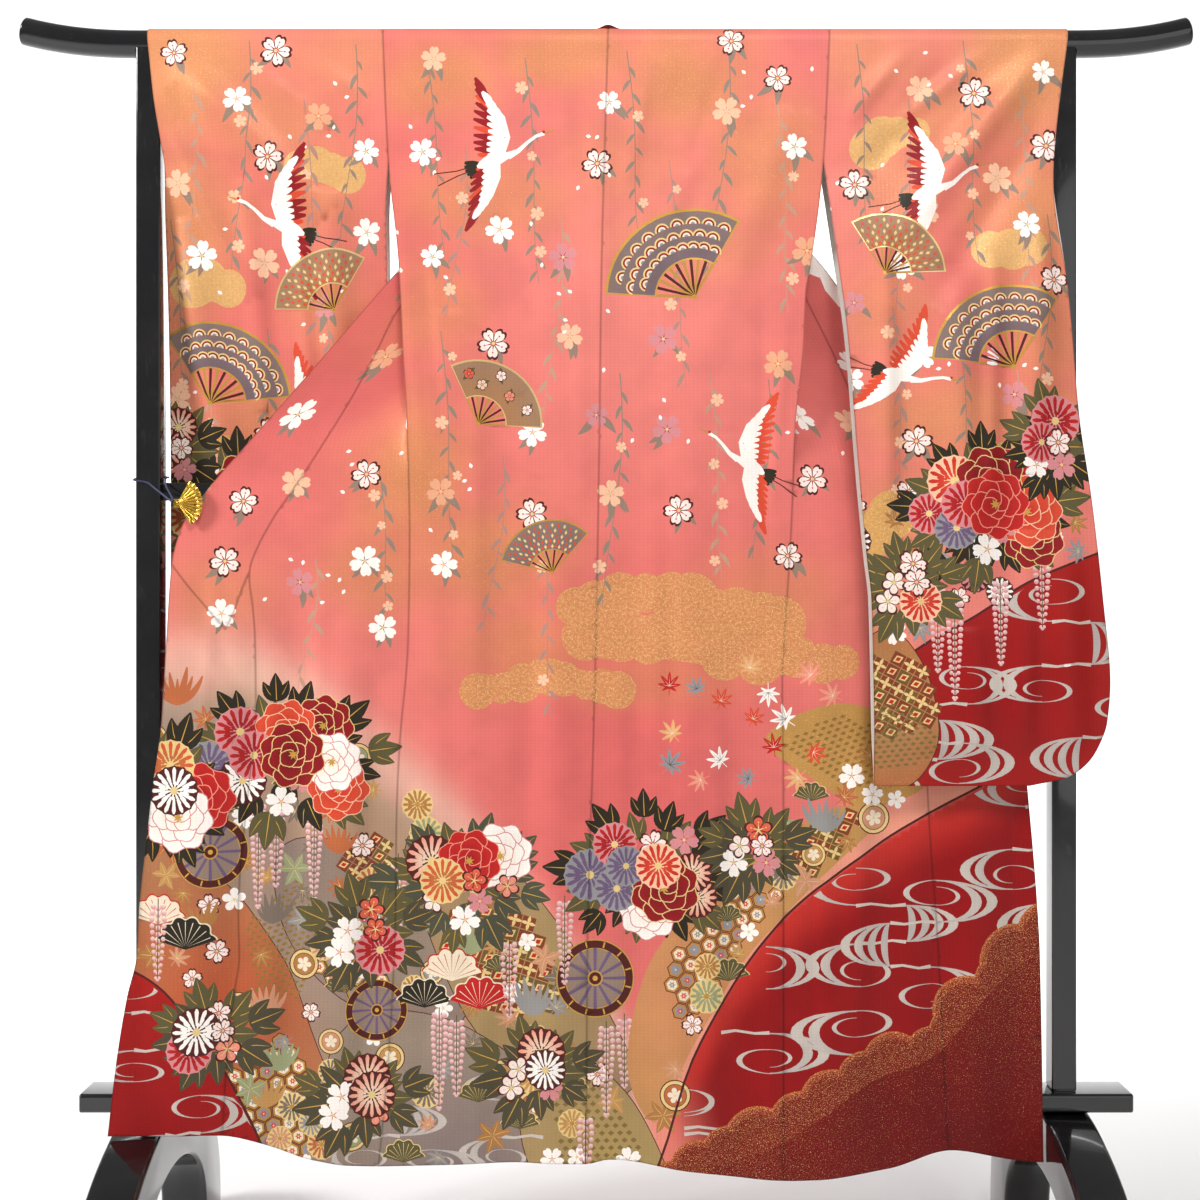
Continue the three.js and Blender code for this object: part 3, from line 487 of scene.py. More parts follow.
def panel_outline(inner, outer, bottom):
    """A panel between two long edges, from its hem to the bar: both edges and the hem are
    lines of u over v, and it runs round them once."""
    ends = []
    for edge in (inner, outer):
        low = 200.0
        for _ in range(6):
            low = float(bottom(edge(over_bar(np.array(low))[0])))
        ends.append(low)
    sides = []
    for edge, low in zip((inner, outer), ends):
        v = levels(low, TOP_V)
        sides.append(np.stack([edge(over_bar(v)[0]), v], -1))
    a, b = sides[0][0], sides[1][0]
    along = np.linspace(a[0], b[0], max(2, int(abs(b[0] - a[0]) / 8)))[1:-1]
    low_edge = np.stack([along, bottom(along)], -1)
    top = np.linspace(sides[1][-1, 0], sides[0][-1, 0], len(along) + 2)[1:-1]
    top_edge = np.stack([top, np.full(len(top), TOP_V)], -1)
    return counter_clockwise(np.concatenate([low_edge, sides[1], top_edge, sides[0][::-1]]))


def counter_clockwise(points):
    x, y = points.T
    area = np.sum(x * np.roll(y, -1) - y * np.roll(x, -1))
    return points if area > 0 else points[::-1]


def hem_at(surface):
    """The hem's height as a line over u, for a piece whose x isn't exactly its u."""
    return lambda u: hem(surface(np.asarray(u, float), np.full(np.shape(u), 215.0))[..., 0])


def front_outline(surface):
    return panel_outline(
        lambda z: surface.u_at(0.0, z_to_v(z)), lambda z: surface.seam_u(z_to_v(z)),
        hem_at(surface),
    )


def z_to_v(z):
    """The inverse of over_bar's height."""
    z = np.asarray(z, float)
    rise = np.clip((z - BAR_HEIGHT) / SADDLE, 0, 1)
    return np.where(z > BAR_HEIGHT, BAR_HEIGHT + SADDLE * np.arcsin(rise), z)


def notch_line(surface):
    """The line that parts the collar from the gusset: from its tip down to the collar's inner
    corner, then up to its outer corner. Columns u and v."""
    across_at, low, out = surface.side.notch
    across = np.concatenate([np.linspace(0, across_at, 8), np.linspace(across_at, 1, 12)[1:]])
    v = np.where(
        across < across_at,
        lerp(KENSAKI_Z, low, across / across_at),
        lerp(low, out, (across - across_at) / (1 - across_at)),
    )
    seam = surface.row(v, surface.seam)
    return np.stack([surface.u_at(lerp(seam, 1, across), v), v], -1)


def collar_outline(surface):
    notch = notch_line(surface)
    inner = levels(notch[0, 1], TOP_V)
    outer = levels(notch[-1, 1], TOP_V)
    inner = np.stack([surface.seam_u(inner), inner], -1)
    outer = np.stack([surface.u_at(1.0, outer), outer], -1)
    top = np.linspace(outer[-1], inner[-1], 9)[1:-1]
    return counter_clockwise(np.concatenate([notch[:-1], outer, top, inner[:0:-1]]))


def gusset_outline(surface):
    notch = notch_line(surface)
    bottom = hem_at(surface)
    low_in = float(bottom(surface.seam_u(np.array(200.0))))
    low_out = float(bottom(surface.u_at(1.0, np.array(200.0))))
    inner = levels(low_in, notch[0, 1])
    outer = levels(low_out, notch[-1, 1])
    inner = np.stack([surface.seam_u(inner), inner], -1)
    outer = np.stack([surface.u_at(1.0, outer), outer], -1)
    along = np.linspace(inner[0, 0], outer[0, 0], 20)[1:-1]
    low_edge = np.stack([along, bottom(along)], -1)
    return counter_clockwise(
        np.concatenate([low_edge, outer[:-1], notch[::-1], inner[-2::-1]])
    )


def sleeve_outline(surface, near):
    v = np.concatenate([
        SLEEVE_BOTTOM + 105 * np.linspace(0, 1, 26) ** 2.2, levels(850, TOP_V, 8.0)
    ])
    inner_v = levels(SLEEVE_BOTTOM, TOP_V)
    inner = surface.edges(over_bar(inner_v)[0])[0]
    outer = surface.edges(over_bar(v)[0])[1]
    inner = np.stack([-near * inner, inner_v], -1)
    outer = np.stack([-near * outer, v], -1)
    low_edge = np.linspace(inner[0], outer[0], 24)[1:-1]
    top = np.linspace(outer[-1], inner[-1], 44)[1:-1]
    return counter_clockwise(np.concatenate([low_edge, outer, top, inner[::-1]]))


# ---------------------------------------------------------------- dyed picture
def linear(colour):
    """A hex colour as linear red, green and blue."""
    value = np.array([int(colour[i : i + 2], 16) / 255 for i in (1, 3, 5)])
    return np.where(value <= 0.04045, value / 12.92, ((value + 0.055) / 1.055) ** 2.4)


class Picture:
    """Shapes drawn on the flat cloth, later ones over earlier ones. Each has one colour, which
    may pass into a second one away from a middle point, and a share of metal foil."""

    def __init__(self):
        self.shapes, self.facts = [], []

    def add(self, points, colour, foil=0.0, fleck=0.0, fade=None):
        points = np.asarray(points, float)
        other, middle, reach = fade or (colour, points.mean(0), 1.0)
        near, far = fleck if isinstance(fleck, tuple) else (fleck, fleck)
        self.shapes.append(counter_clockwise(points))
        self.facts.append(
            [*linear(colour), *linear(other), middle[0], middle[1], reach, foil, near, far]
        )


# ---------------------------------------------------------------- motifs
WHITE, CREAM, SILVER = "#F4EBE2", "#E6D5BA", "#C6B9AE"
GOLD, OCHRE, STRAW = "#C99A45", "#B4853C", "#DDBE7E"
CRIMSON, RED, VERMILION = "#8C161C", "#B8211F", "#D0482E"
SALMON, PEACH, ROSE = "#E48B74", "#EBB795", "#CD8385"
MAUVE, SMOKE, TAUPE = "#6A5572", "#8E8A8C", "#8E7767"
RUST = "#A9522F"
BARK, DARK_LEAF, OLIVE = "#4E1D1A", "#2A2419", "#5A5233"
MUTED = ("#A9743F", "#8E8A86", "#C58B6A", "#77685C", "#B5643C", "#93966F", "#B98A50")
GOLDEN_TURN = 2.39996


def place(points, at, turn=0.0, size=1.0):
    """Points turned, then sized, then moved."""
    c, s = math.cos(turn), math.sin(turn)
    return np.asarray(points) @ np.array([[c, s], [-s, c]]) * size + np.asarray(at, float)


def polar(radius, count=40):
    """A closed outline whose distance from its middle is a function of the angle."""
    angle = np.linspace(0, 2 * math.pi, count, endpoint=False)
    return radius(angle)[:, None] * np.stack([np.cos(angle), np.sin(angle)], -1)


def ribbon(line, half):
    """The outline of a line that is twice half wide; half may change along it."""
    line = np.asarray(line, float)
    side = unit(to_left(np.gradient(line, axis=0)))
    side = side * np.broadcast_to(half, len(line))[:, None]
    return np.concatenate([line + side, (line - side)[::-1]])


def lens(length, half, bend=0.0, count=7):
    """A leaf's outline along x: its half width is a sine, and its middle line an arc."""
    t = np.linspace(0, 1, count)
    line = np.stack([t * length, bend * length * t * (1 - t) * 4], -1)
    return ribbon(line, half * np.sin(math.pi * t**0.85) + 0.02)


def disc(radius, count=10):
    return polar(lambda angle: radius + 0 * angle, count)


def star(petals, outer, inner, turn=0.0):
    """Points out and in by turns."""
    angle = np.arange(2 * petals) * math.pi / petals + turn
    reach = np.where(np.arange(2 * petals) % 2, inner, outer)
    return reach[:, None] * np.stack([np.cos(angle), np.sin(angle)], -1)


def blossom(pic, at, size=24.0, turn=0.0, petal=WHITE, line=BARK, heart=RED, notch=0.15):
    """A five-petalled flower: lobes that are a power of a cosine, notched for a cherry, with a
    line round them where line is given, a star of threads and a dot."""

    def edge(angle):
        off = (angle * 5 / (2 * math.pi) % 1 - 0.5) * 2 * math.pi / 5
        lobe = 0.4 + 0.6 * np.maximum(np.cos(2.5 * off), 0) ** 0.55
        return lobe * (1 - notch * np.exp(-((off / 0.1) ** 2)))

    shape = polar(edge, 50)
    middle = turn + math.pi / 5
    if line:
        pic.add(place(shape, at, turn, size), line)
        pic.add(place(shape, at, turn, size * 0.84), petal, fade=(SALMON, at, size * 2.6))
        for k in range(5):
            cut = turn + k * 2 * math.pi / 5
            pic.add(place([(0, -0.022), (0.5, -0.035), (0.5, 0.035), (0, 0.022)], at, cut, size),
                    line)
        pic.add(place(star(5, 0.5, 0.09), at, middle, size), heart)
        for k in range(5):
            spot = place([(0.52, 0)], at, middle + k * 2 * math.pi / 5, size)[0]
            pic.add(place(disc(0.055, 5), spot, 0, size), heart)
    else:
        pic.add(place(shape, at, turn, size), petal)
        pic.add(place(star(5, 0.4, 0.06), at, turn, size), heart)
    pic.add(place(disc(0.11, 6), at, 0, size), STRAW)


def leaf(pic, at, length, turn, colour=DARK_LEAF, half=0.22, vein=GOLD, bend=0.06):
    pic.add(place(lens(1, half, bend), at, turn, length), colour)
    if vein:
        t = np.array([0.05, 0.5, 0.92])
        line = np.stack([t, bend * t * (1 - t) * 4], -1)
        pic.add(place(ribbon(line, [0.014, 0.012, 0.003]), at, turn, length), vein)


def leaf_ring(pic, at, length, count, colour=DARK_LEAF, vein=GOLD, turn=0.0, sweep=2 * math.pi):
    for k in range(count):
        away = turn + sweep * k / count
        reach = length * (0.86 + 0.2 * math.sin(3.1 * k + at[0]))
        leaf(pic, at, reach, away, colour, 0.2, vein, 0.05 * (-1) ** k)


def chrysanthemum(pic, at, size, petal=WHITE, line=BARK, heart=STRAW, count=16, tips=None):
    """Rows of narrow petals on a scalloped disc, each row smaller and turned half a petal."""
    pic.add(place(polar(lambda a: 0.93 + 0.09 * np.abs(np.cos(a * count / 2)), 3 * count), at, 0,
                  size), line)
    rows = ((0.94, count, 0.0), (0.64, count - 2, 0.5), (0.38, count - 6, 0.2))
    for reach, number, shift in rows:
        half = 0.8 * math.pi * reach / number * 0.62
        outline = np.array([
            (0.06, 0.01), (0.55, 0.62), (0.86, 0.9), (1.0, 0.35),
            (1.0, -0.35), (0.86, -0.9), (0.55, -0.62), (0.06, -0.01),
        ]) * (reach, half)
        for k in range(number):
            away = 2 * math.pi * (k + shift) / number
            pic.add(place(outline, at, away, size), petal, fade=(tips or petal, at, size))
        pic.add(place(disc(reach * 0.42, 9), at, 0, size), line if reach > 0.4 else heart)


def peony(pic, at, size, turn=0.0, petal=RED, rim=SALMON, dark=CRIMSON):
    """Three rings of broad petals over each other, each petal with a pale rim and a dark foot,
    and gold threads."""
    lobe = polar(lambda a: 0.84 + 0.16 * np.abs(np.cos(2.5 * a)) ** 0.6, 18)
    rings = ((8, 0.62, 0.38, 0.0), (6, 0.38, 0.36, 0.4), (4, 0.17, 0.27, 0.2))
    for count, away, wide, shift in rings:
        for k in range(count):
            angle = turn + shift + k * 2 * math.pi / count
            spot = place([(away, 0)], at, angle, size)[0]
            pic.add(place(lobe, spot, angle, size * wide), rim)
            pic.add(place(lobe, spot, angle, size * wide - max(1.1, 0.03 * size)), dark,
                    fade=(petal, at, size * (away + 0.25)))
    pic.add(place(star(7, 0.16, 0.07), at, turn, size), GOLD, foil=0.3)


def maple(pic, at, size, turn=0.0, colour=VERMILION, vein=CREAM):
    """A leaf of seven pointed lobes: the highest of seven bells round the angle."""
    lobes = ((0, 1.0), (0.7, 0.94), (-0.7, 0.94), (1.4, 0.78), (-1.4, 0.78), (2.15, 0.5),
             (-2.15, 0.5))

    def edge(angle):
        off = (angle + math.pi) % (2 * math.pi) - math.pi
        bells = [reach * np.exp(-(np.abs(off - middle) / 0.25) ** 1.3) for middle, reach in lobes]
        return 0.2 + 0.8 * np.max(bells, axis=0)

    pic.add(place(polar(edge, 70), at, turn, size), colour)
    for middle, reach in lobes[:5]:
        pic.add(place([(0, -0.016), (0.72 * reach, 0), (0, 0.016)], at, turn + middle, size), vein)
    pic.add(place([(0, -0.03), (-0.62, -0.02), (-0.62, 0.02), (0, 0.03)], at, turn, size), colour)


def twig(pic, at, length, sway, colour=TAUPE, leaves=14, size=22.0, flowers=0, seed=0):
    """A hanging twig: a line that sways as it falls, with slim leaves by turns on both sides."""
    random = np.random.default_rng(seed)
    t = np.linspace(0, 1, 14)
    line = np.stack([at[0] + sway * t**1.5 + 6 * np.sin(5 * t), at[1] - length * t], -1)
    pic.add(ribbon(line, 0.9 - 0.5 * t), colour)
    for k in range(leaves):
        share = 0.08 + 0.92 * k / leaves
        spot = point_at(share, t, line)
        away = -math.pi / 2 + (-1) ** k * random.uniform(0.35, 0.75)
        pic.add(place(lens(1, 0.11, 0.05 * (-1) ** k, 5), spot, away,
                      size * random.uniform(0.8, 1.25)), colour)
    for k in range(flowers):
        share = (k + 0.6) / flowers
        spot = point_at(share, t, line) + random.uniform(-14, 14, 2)
        blossom(pic, spot, random.uniform(7, 11), random.uniform(0, 6), PEACH, None, ROSE)


def wisteria(pic, at, length, wide=17.0, colour=WHITE, other=ROSE):
    """A hanging flower: rows of small round petals that narrow towards its tip."""
    rows = int(length / 8.5)
    for k in range(rows):
        share = k / rows
        half = wide * (1 - share) ** 0.6 * (0.55 + 0.45 * min(1, 4 * share + 0.3))
        for side in (-1, 0, 1):
            if abs(side) * half < 3 and side:
                continue
            spot = (at[0] + side * half * 0.62, at[1] - length * share + 2.5 * abs(side))
            pic.add(place(disc(4.4 * (1 - 0.45 * share), 7), spot), colour,
                    fade=(other, (spot[0], spot[1] + 6), 9))
    pic.add(ribbon([(at[0], at[1] + 14), (at[0], at[1] - 0.9 * length)], 0.7), OLIVE)


def sector(inner, outer, start, end, count=14):
    """A part of a ring."""
    angle = np.linspace(start, end, count)
    arc = np.stack([np.cos(angle), np.sin(angle)], -1)
    return np.concatenate([arc * outer, arc[::-1] * inner])


def fan(pic, at, size, turn, paper=MAUVE, rim=GOLD, kind="waves", edge=STRAW):
    """A folding fan around its pivot: ribs, a paper band, and a pattern of its own."""
    half = 1.02
    for k in range(11):
        away = turn - half + 2 * half * k / 10
        pic.add(place([(0, -0.012), (0.5, -0.018), (0.5, 0.018), (0, 0.012)], at, away, size),
                BARK if k % 2 else OCHRE)
    pic.add(place(sector(0.43, 1.015, -half - 0.02, half + 0.02, 18), at, turn, size), rim, 0.5)
    pic.add(place(sector(0.45, 0.985, -half, half, 18), at, turn, size), paper,
            fade=(TAUPE, at, size * 1.5))
    if kind == "waves":
        for row, reach in enumerate((0.56, 0.7, 0.84)):
            for k in range(9):
                away = -half + (k + 0.5 + 0.5 * (row % 2)) * 2 * half / 9.5
                if away > half - 0.08:
                    continue
                spot = place([(reach * math.cos(away), reach * math.sin(away))], at, turn,
                             size)[0]
                for ring, colour in ((0.085, edge), (0.066, CRIMSON), (0.045, CREAM),
                                     (0.024, SMOKE)):
                    bow = sector(0, ring, -math.pi / 2, math.pi / 2, 8)
                    pic.add(place(bow, spot, turn + away, size), colour)
    elif kind == "flowers":
        for reach, away, flower in ((0.8, -0.7, WHITE), (0.66, -0.25, SALMON), (0.84, 0.15, WHITE),
                                    (0.62, 0.5, CREAM), (0.8, 0.78, VERMILION)):
            spot = place([(reach * math.cos(away), reach * math.sin(away))], at, turn, size)[0]
            leaf_ring(pic, spot, size * 0.13, 4, OLIVE, None, away)
            blossom(pic, spot, size * 0.1, away, flower, BARK)
    else:
        for row in range(5):
            for k in range(15):
                reach, away = 0.5 + 0.1 * row, -half + (k + 0.5 + 0.5 * (row % 2)) * half / 7.8
                if away > half - 0.04:
                    continue
                spot = place([(reach * math.cos(away), reach * math.sin(away))], at, turn,
                             size)[0]
                pic.add(place(star(2, 0.044, 0.026), spot, turn + away, size),
                        edge if (row + k) % 2 else VERMILION)
    pic.add(place(disc(0.03, 8), at, 0, size), GOLD, 0.6)


def crane(pic, at, size, turn=0.0, mirror=1, wing=WHITE, tips=CRIMSON, lift=0.9):
    """A flying bird: each wing is an arm with long dark feathers that hang back from it and
    short pale ones over them; then a body, a long neck and trailing legs. It flies along x,
    and mirror turns it over."""

    def put(points, spot, away, scale, colour):
        shape = place(points, spot, away, scale) * (1, mirror)
        pic.add(place(shape, at, turn, size), colour)

    for low in (0.03, -0.02):
        put(ribbon([(-0.3, low), (-0.66, low * 1.6), (-1.0, low * 4)], 0.009), (0, 0), 0, 1, BARK)
    for k in range(5):
        put(lens(0.28, 0.035), (-0.24, 0.0), math.pi + 0.5 - 0.25 * k, 1, DARK_LEAF)
    arms = (
        (np.array([(0.1, 0.04), (0.3, 0.28), (0.34, 0.6), (0.2, 0.98)]), 2.75),
        (np.array([(0.02, 0.02), (-0.06, -0.26), (-0.26, -0.5), (-0.56, -0.66)]), 3.3),
    )
    for arm, sweep in arms[:: 1 if lift > 0 else -1]:
        fold = 1.0 if sweep < 3 else -0.55
        for reach, half, count, shade in ((0.52, 0.04, 12, tips), (0.3, 0.035, 11, wing)):
            for k in range(count):
                share = k / (count - 1) * (1 if shade == tips else 0.9)
                root = point_at(share, np.linspace(0, 1, 4), arm)
                away = sweep - fold * share**1.6
                length = reach * (0.72 + 0.34 * math.sin(math.pi * share**0.8))
                put(lens(length, half), root, away, 1,
                    VERMILION if shade == tips and k % 4 == 0 else shade)
        put(ribbon(arm, [0.05, 0.036, 0.024, 0.006]), (0, 0), 0, 1, wing)
    put(lens(0.6, 0.085, 0.03, 9), (-0.32, 0), 0, 1, wing)
    neck = np.array([(0.2, 0.0), (0.38, 0.02), (0.56, 0.1), (0.72, 0.15), (0.86, 0.15)])
    put(ribbon(neck, [0.06, 0.036, 0.026, 0.024, 0.03]), (0, 0), 0, 1, wing)
    put([(0.88, 0.17), (1.08, 0.14), (0.88, 0.13)], (0, 0), 0, 1, OCHRE)
    put(disc(0.026, 6), (0.86, 0.175), 0, 1, RED)


def lattice_points(outline, step, high, turn=0.0):
    """Staggered rows of points inside an outline."""
    middle = outline.mean(0)
    reach = np.linalg.norm(outline - middle, axis=1).max()
    across = np.arange(-reach, reach, step)
    up = np.arange(-reach, reach, high)
    u, v = np.meshgrid(across, up)
    u = u + (np.arange(len(up)) % 2)[:, None] * step / 2
    points = place(np.stack([u.ravel(), v.ravel()], -1), middle, turn)
    return points[inside(points, outline)]


def honeycomb(pic, outline, size=17.0, turn=0.0, rim=OCHRE, fill=CREAM, others=(VERMILION, SMOKE)):
    """Six-sided cells over a patch, each with a smaller one and a flower in it."""
    for number, spot in enumerate(lattice_points(outline, size * 1.74, size * 1.5, turn)):
        six = star(3, 1, 1, turn + math.pi / 6)
        pic.add(place(six, spot, 0, size * 0.97), BARK)
        pic.add(place(six, spot, 0, size * 0.86), rim)
        pic.add(place(six, spot, 0, size * 0.62), fill if number % 3 else others[1])
        pic.add(place(star(6, 0.42, 0.2), spot, 0, size), others[number % 2])
        pic.add(place(disc(0.1, 5), spot, 0, size), fill)


def tiles(pic, outline, size=15.0, turn=0.0, ground="#7E3A22", petal=STRAW, heart=RED):
    """Square tiles by turns with four petals round a dot and with a lozenge in a lozenge."""
    for number, spot in enumerate(lattice_points(outline, size * 2.1, size * 1.05, turn)):
        shade = ground if number % 3 else "#6E5128"
        pic.add(place(star(2, 1, 1), spot, turn, size * 0.98), shade)
        if number % 2:
            for k in range(4):
                pic.add(place(lens(0.78, 0.16, 0, 5), spot, turn + (k + 0.5) * math.pi / 2, size),
                        petal)
        else:
            pic.add(place(star(2, 0.62, 0.44), spot, turn, size), petal)
            pic.add(place(star(2, 0.36, 0.25), spot, turn, size), heart)


def roundel(pic, at, size, ring=STRAW, ground=RUST, flower=CREAM):
    """A ring with a flower in it."""
    for reach, colour in ((1.0, BARK), (0.93, ring), (0.74, BARK), (0.7, ground)):
        pic.add(place(disc(reach, 20), at, 0, size), colour)
    plum(pic, at, size * 0.5, size, flower, None)


def reeds(pic, at, size, colour=OLIVE, seed=0):
    """A tuft of slim leaves that lean out."""
    random = np.random.default_rng(seed)
    for k in range(7):
        leaf(pic, at, size * random.uniform(0.7, 1.1), math.pi / 2 + 0.24 * (k - 3), colour, 0.07,
             None, 0.1 * (k - 3) / 3)


def lozenges(pic, outline, step=15.0, colour=STRAW, turn=0.0, half=0.36, flat=0.6, heart=None):
    for spot in lattice_points(outline, step, step * flat, turn):
        pic.add(place([(half, 0), (0, half * flat), (-half, 0), (0, -half * flat)], spot, turn,
                      step), colour)
        if heart:
            pic.add(place(star(2, half * 0.45, half * 0.25), spot, turn, step), heart)


def patch(pic, points, colour, line=None, wide=1.6, foil=0.0, fleck=0.0, fade=None):
    """A closed patch through a few points, rounded, with a line round it."""
    points = np.asarray(points, float)
    count = len(points)
    t = np.linspace(0, count, 6 * count, endpoint=False)
    i, s = t.astype(int), (t % 1)[:, None]
    a, b, c, d = (points[(i + k) % count] for k in (-1, 0, 1, 2))
    curve = 0.5 * (2 * b + (c - a) * s + (2 * a - 5 * b + 4 * c - d) * s**2
                   + (3 * b - a - 3 * c + d) * s**3)
    if line:
        edge = counter_clockwise(curve)
        pic.add(edge - unit(to_left(np.gradient(edge, axis=0))) * wide, line)
    pic.add(curve, colour, foil, fleck, fade)
    return curve


def cloud(pic, line, radius, colour, foil=0.0, fleck=0.0, seed=0):
    """A bank of cloud with a scalloped edge: round lobes along a line over a thick ribbon."""
    random = np.random.default_rng(seed)
    line = np.asarray(line, float)
    run = run_length(line)
    spots = point_at(np.arange(0, run[-1], radius * 0.95), run, line)
    pic.add(ribbon(spots, radius * 0.7), colour, foil, fleck)
    for spot in spots:
        size = radius * random.uniform(0.75, 1.2)
        spot = spot + random.uniform(-0.25, 0.25, 2) * radius
        pic.add(place(disc(size, 22), spot), colour, foil, fleck)


def crescents(pic, at, high, wide, way, count, top, colour):
    """One turn of running water: crescents inside each other that leave one point and meet
    again at a point below it, broadest half way round. high is minus for a turn that rises.
    What would stand over the curve top is cut off along it."""
    angle = np.linspace(-math.pi / 2, math.pi / 2, 15)
    middle = np.array([at[0], at[1] - high / 2])
    high = abs(high) / 2
    for k in range(count):
        reach = wide * (1 - 0.27 * k)
        thick = 0.18 * wide * (1 - 0.08 * k)
        outer = np.stack([reach * np.cos(angle), high * np.sin(angle)], -1)
        inner = (reach - thick) * np.cos(angle)
        inner = np.stack([inner, (high - 0.12 * thick) * np.sin(angle)], -1)
        shape = np.concatenate([outer, inner[::-1]]) * (way, 1) + middle
        level = top(shape[:, 0]) - 6
        if np.mean(shape[:, 1] > level) < 0.6:
            shape[:, 1] = np.minimum(shape[:, 1], level)
            pic.add(shape, colour, 0.1, 0, (SMOKE, middle + (way * wide, 0), wide * 2.4))


def stream(pic, at, size, way, turns, seed, top, colour=SILVER):
    """Running water that falls: it turns to the right and to the left by turns, with slender
    lines between the turns, and curls inwards at both ends, all under the curve top."""
    random = np.random.default_rng(seed)
    x, y = at
    for k in range(turns):
        high, wide = size * random.uniform(0.72, 0.88), size * random.uniform(1.0, 1.3)
        ends = k in (0, turns - 1)
        crescents(pic, (x, y), high, wide, way, 2 if ends else 4, top, colour)
        if ends:
            start = y if k == 0 else y - high
            fall = high if k == 0 else -high
            crescents(pic, (x, start), 0.6 * fall, 0.56 * wide, -way, 1, top, colour)
            crescents(pic, (x, start - 0.16 * fall), 0.44 * fall, 0.38 * wide, way, 1, top, colour)
        y -= high
        if k < turns - 1:
            onward = x - way * size * random.uniform(0.75, 1.05)
            run = np.array([
                (x, y), (0.7 * x + 0.3 * onward, y + 2), (0.3 * x + 0.7 * onward, y - 2),
                (onward, y),
            ])
            if y < top(x) - 8 and y < top(onward) - 8:
                pic.add(ribbon(run, [2.6, 1.8, 1.8, 2.6]), colour, 0.1)
            x, way = onward, -way


def wheel(pic, at, size, rim=BARK, spoke=MAUVE, line=GOLD):
    """An old wooden wheel: a rim with joints, spokes and a hub."""
    pic.add(place(disc(1, 40), at, 0, size), line, 0.4)
    pic.add(place(disc(0.97, 40), at, 0, size), rim)
    pic.add(place(disc(0.78, 36), at, 0, size), line, 0.4)
    pic.add(place(disc(0.755, 36), at, 0, size), TAUPE)
    for k in range(12):
        away = k * math.pi / 6
        pic.add(place([(0.1, -0.03), (0.78, -0.045), (0.78, 0.045), (0.1, 0.03)], at, away, size),
                spoke)
        pic.add(place([(0.8, -0.02), (0.95, -0.02), (0.95, 0.02), (0.8, 0.02)], at,
                      away + 0.26, size), line)
    pic.add(place(disc(0.2, 16), at, 0, size), line, 0.4)
    pic.add(place(disc(0.16, 14), at, 0, size), rim)
    pic.add(place(disc(0.07, 8), at, 0, size), line)


def pine(pic, at, size, turn=math.pi / 2, colour=DARK_LEAF, line=CREAM):
    """A pad of pine needles: a scalloped half disc with lines that spread from its foot."""
    lobes = 5
    angle = np.linspace(-1.35, 1.35, 36)
    reach = 0.86 + 0.14 * np.abs(np.cos((angle + 1.35) / 2.7 * lobes * math.pi))
    for grow, shade in ((1.0, line), (0.95, colour)):
        edge = reach[:, None] * grow * np.stack([np.cos(angle), np.sin(angle)], -1)
        pic.add(place(np.concatenate([edge, [(-0.06, 0)]]), at, turn, size), shade)
    for away in np.linspace(-1.2, 1.2, 9):
        pic.add(place([(0.05, 0), (0.8, -0.014), (0.8, 0.014)], at, turn + away, size), line)


def plum(pic, at, size, turn=0.0, petal=VERMILION, line=BARK):
    blossom(pic, at, size, turn, petal, line, STRAW, notch=0.0)


def bouquet(pic, at, wide, high, count, seed, flowers="pccbb", leaves=DARK_LEAF):
    """A full bunch: flowers on a spiral that fills an ellipse, the outer ones first, and tufts
    of three leaves that show between them. A letter names a flower's kind: p is a peony, c a
    chrysanthemum, b a blossom and m a plum."""
    random = np.random.default_rng(seed)
    for k in range(count * 2):
        away = k * GOLDEN_TURN
        reach = math.sqrt((k + 1) / (2 * count))
        spot = np.array(at) + (wide * reach * math.cos(away), high * reach * math.sin(away))
        length = random.uniform(38, 56)
        for fork in (-0.55, 0.55, 0.0):
            leaf(pic, spot, length * (1 - 0.3 * abs(fork)), away + fork, leaves if k % 3 else OLIVE,
                 0.22, GOLD, 0.1 * fork)
    reds = ((RED, SALMON, CRIMSON), (CRIMSON, STRAW, "#5A0F14"), (VERMILION, PEACH, RED),
            (WHITE, ROSE, CREAM))
    shades = ((WHITE, BARK, WHITE), (VERMILION, PEACH, RED), (CRIMSON, ROSE, RED),
              (MAUVE, SMOKE, MAUVE), (CREAM, BARK, SALMON), ("#A9713C", STRAW, VERMILION))
    for k in reversed(range(count)):
        away = k * GOLDEN_TURN + 0.5
        reach = 0.84 * math.sqrt((k + 0.4) / count)
        spot = np.array(at) + (wide * reach * math.cos(away), high * reach * math.sin(away))
        kind = flowers[k % len(flowers)]
        turn = random.uniform(0, 6)
        if kind == "p":
            petal, rim, dark = reds[(seed + k // 2) % len(reds)]
            peony(pic, spot, random.uniform(44, 54), turn, petal, rim, dark)
        elif kind == "c":
            petal, line, tips = shades[random.integers(len(shades))]
            chrysanthemum(pic, spot, random.uniform(27, 38), petal, line, STRAW, 16, tips)
        elif kind == "m":
            plum(pic, spot, random.uniform(18, 23), turn, (VERMILION, WHITE, SALMON)[k % 3])
        else:
            blossom(pic, spot, random.uniform(19, 24), turn, (WHITE, WHITE, ROSE)[k % 3],
                    (BARK, None, None)[k % 3])


# ---------------------------------------------------------------- cloth meshes
def inside(points, outline):
    """True for each point with an odd number of the outline's edges to its right."""
    x, y = points[:, 0][:, None], points[:, 1][:, None]
    x0, y0 = outline.T
    x1, y1 = np.roll(outline, -1, axis=0).T
    rising = (y0 > y) != (y1 > y)
    cross = x0 + (y - y0) * (x1 - x0) / np.where(y1 == y0, 1, y1 - y0)
    return np.sum(rising & (x < cross), axis=1) % 2 == 1


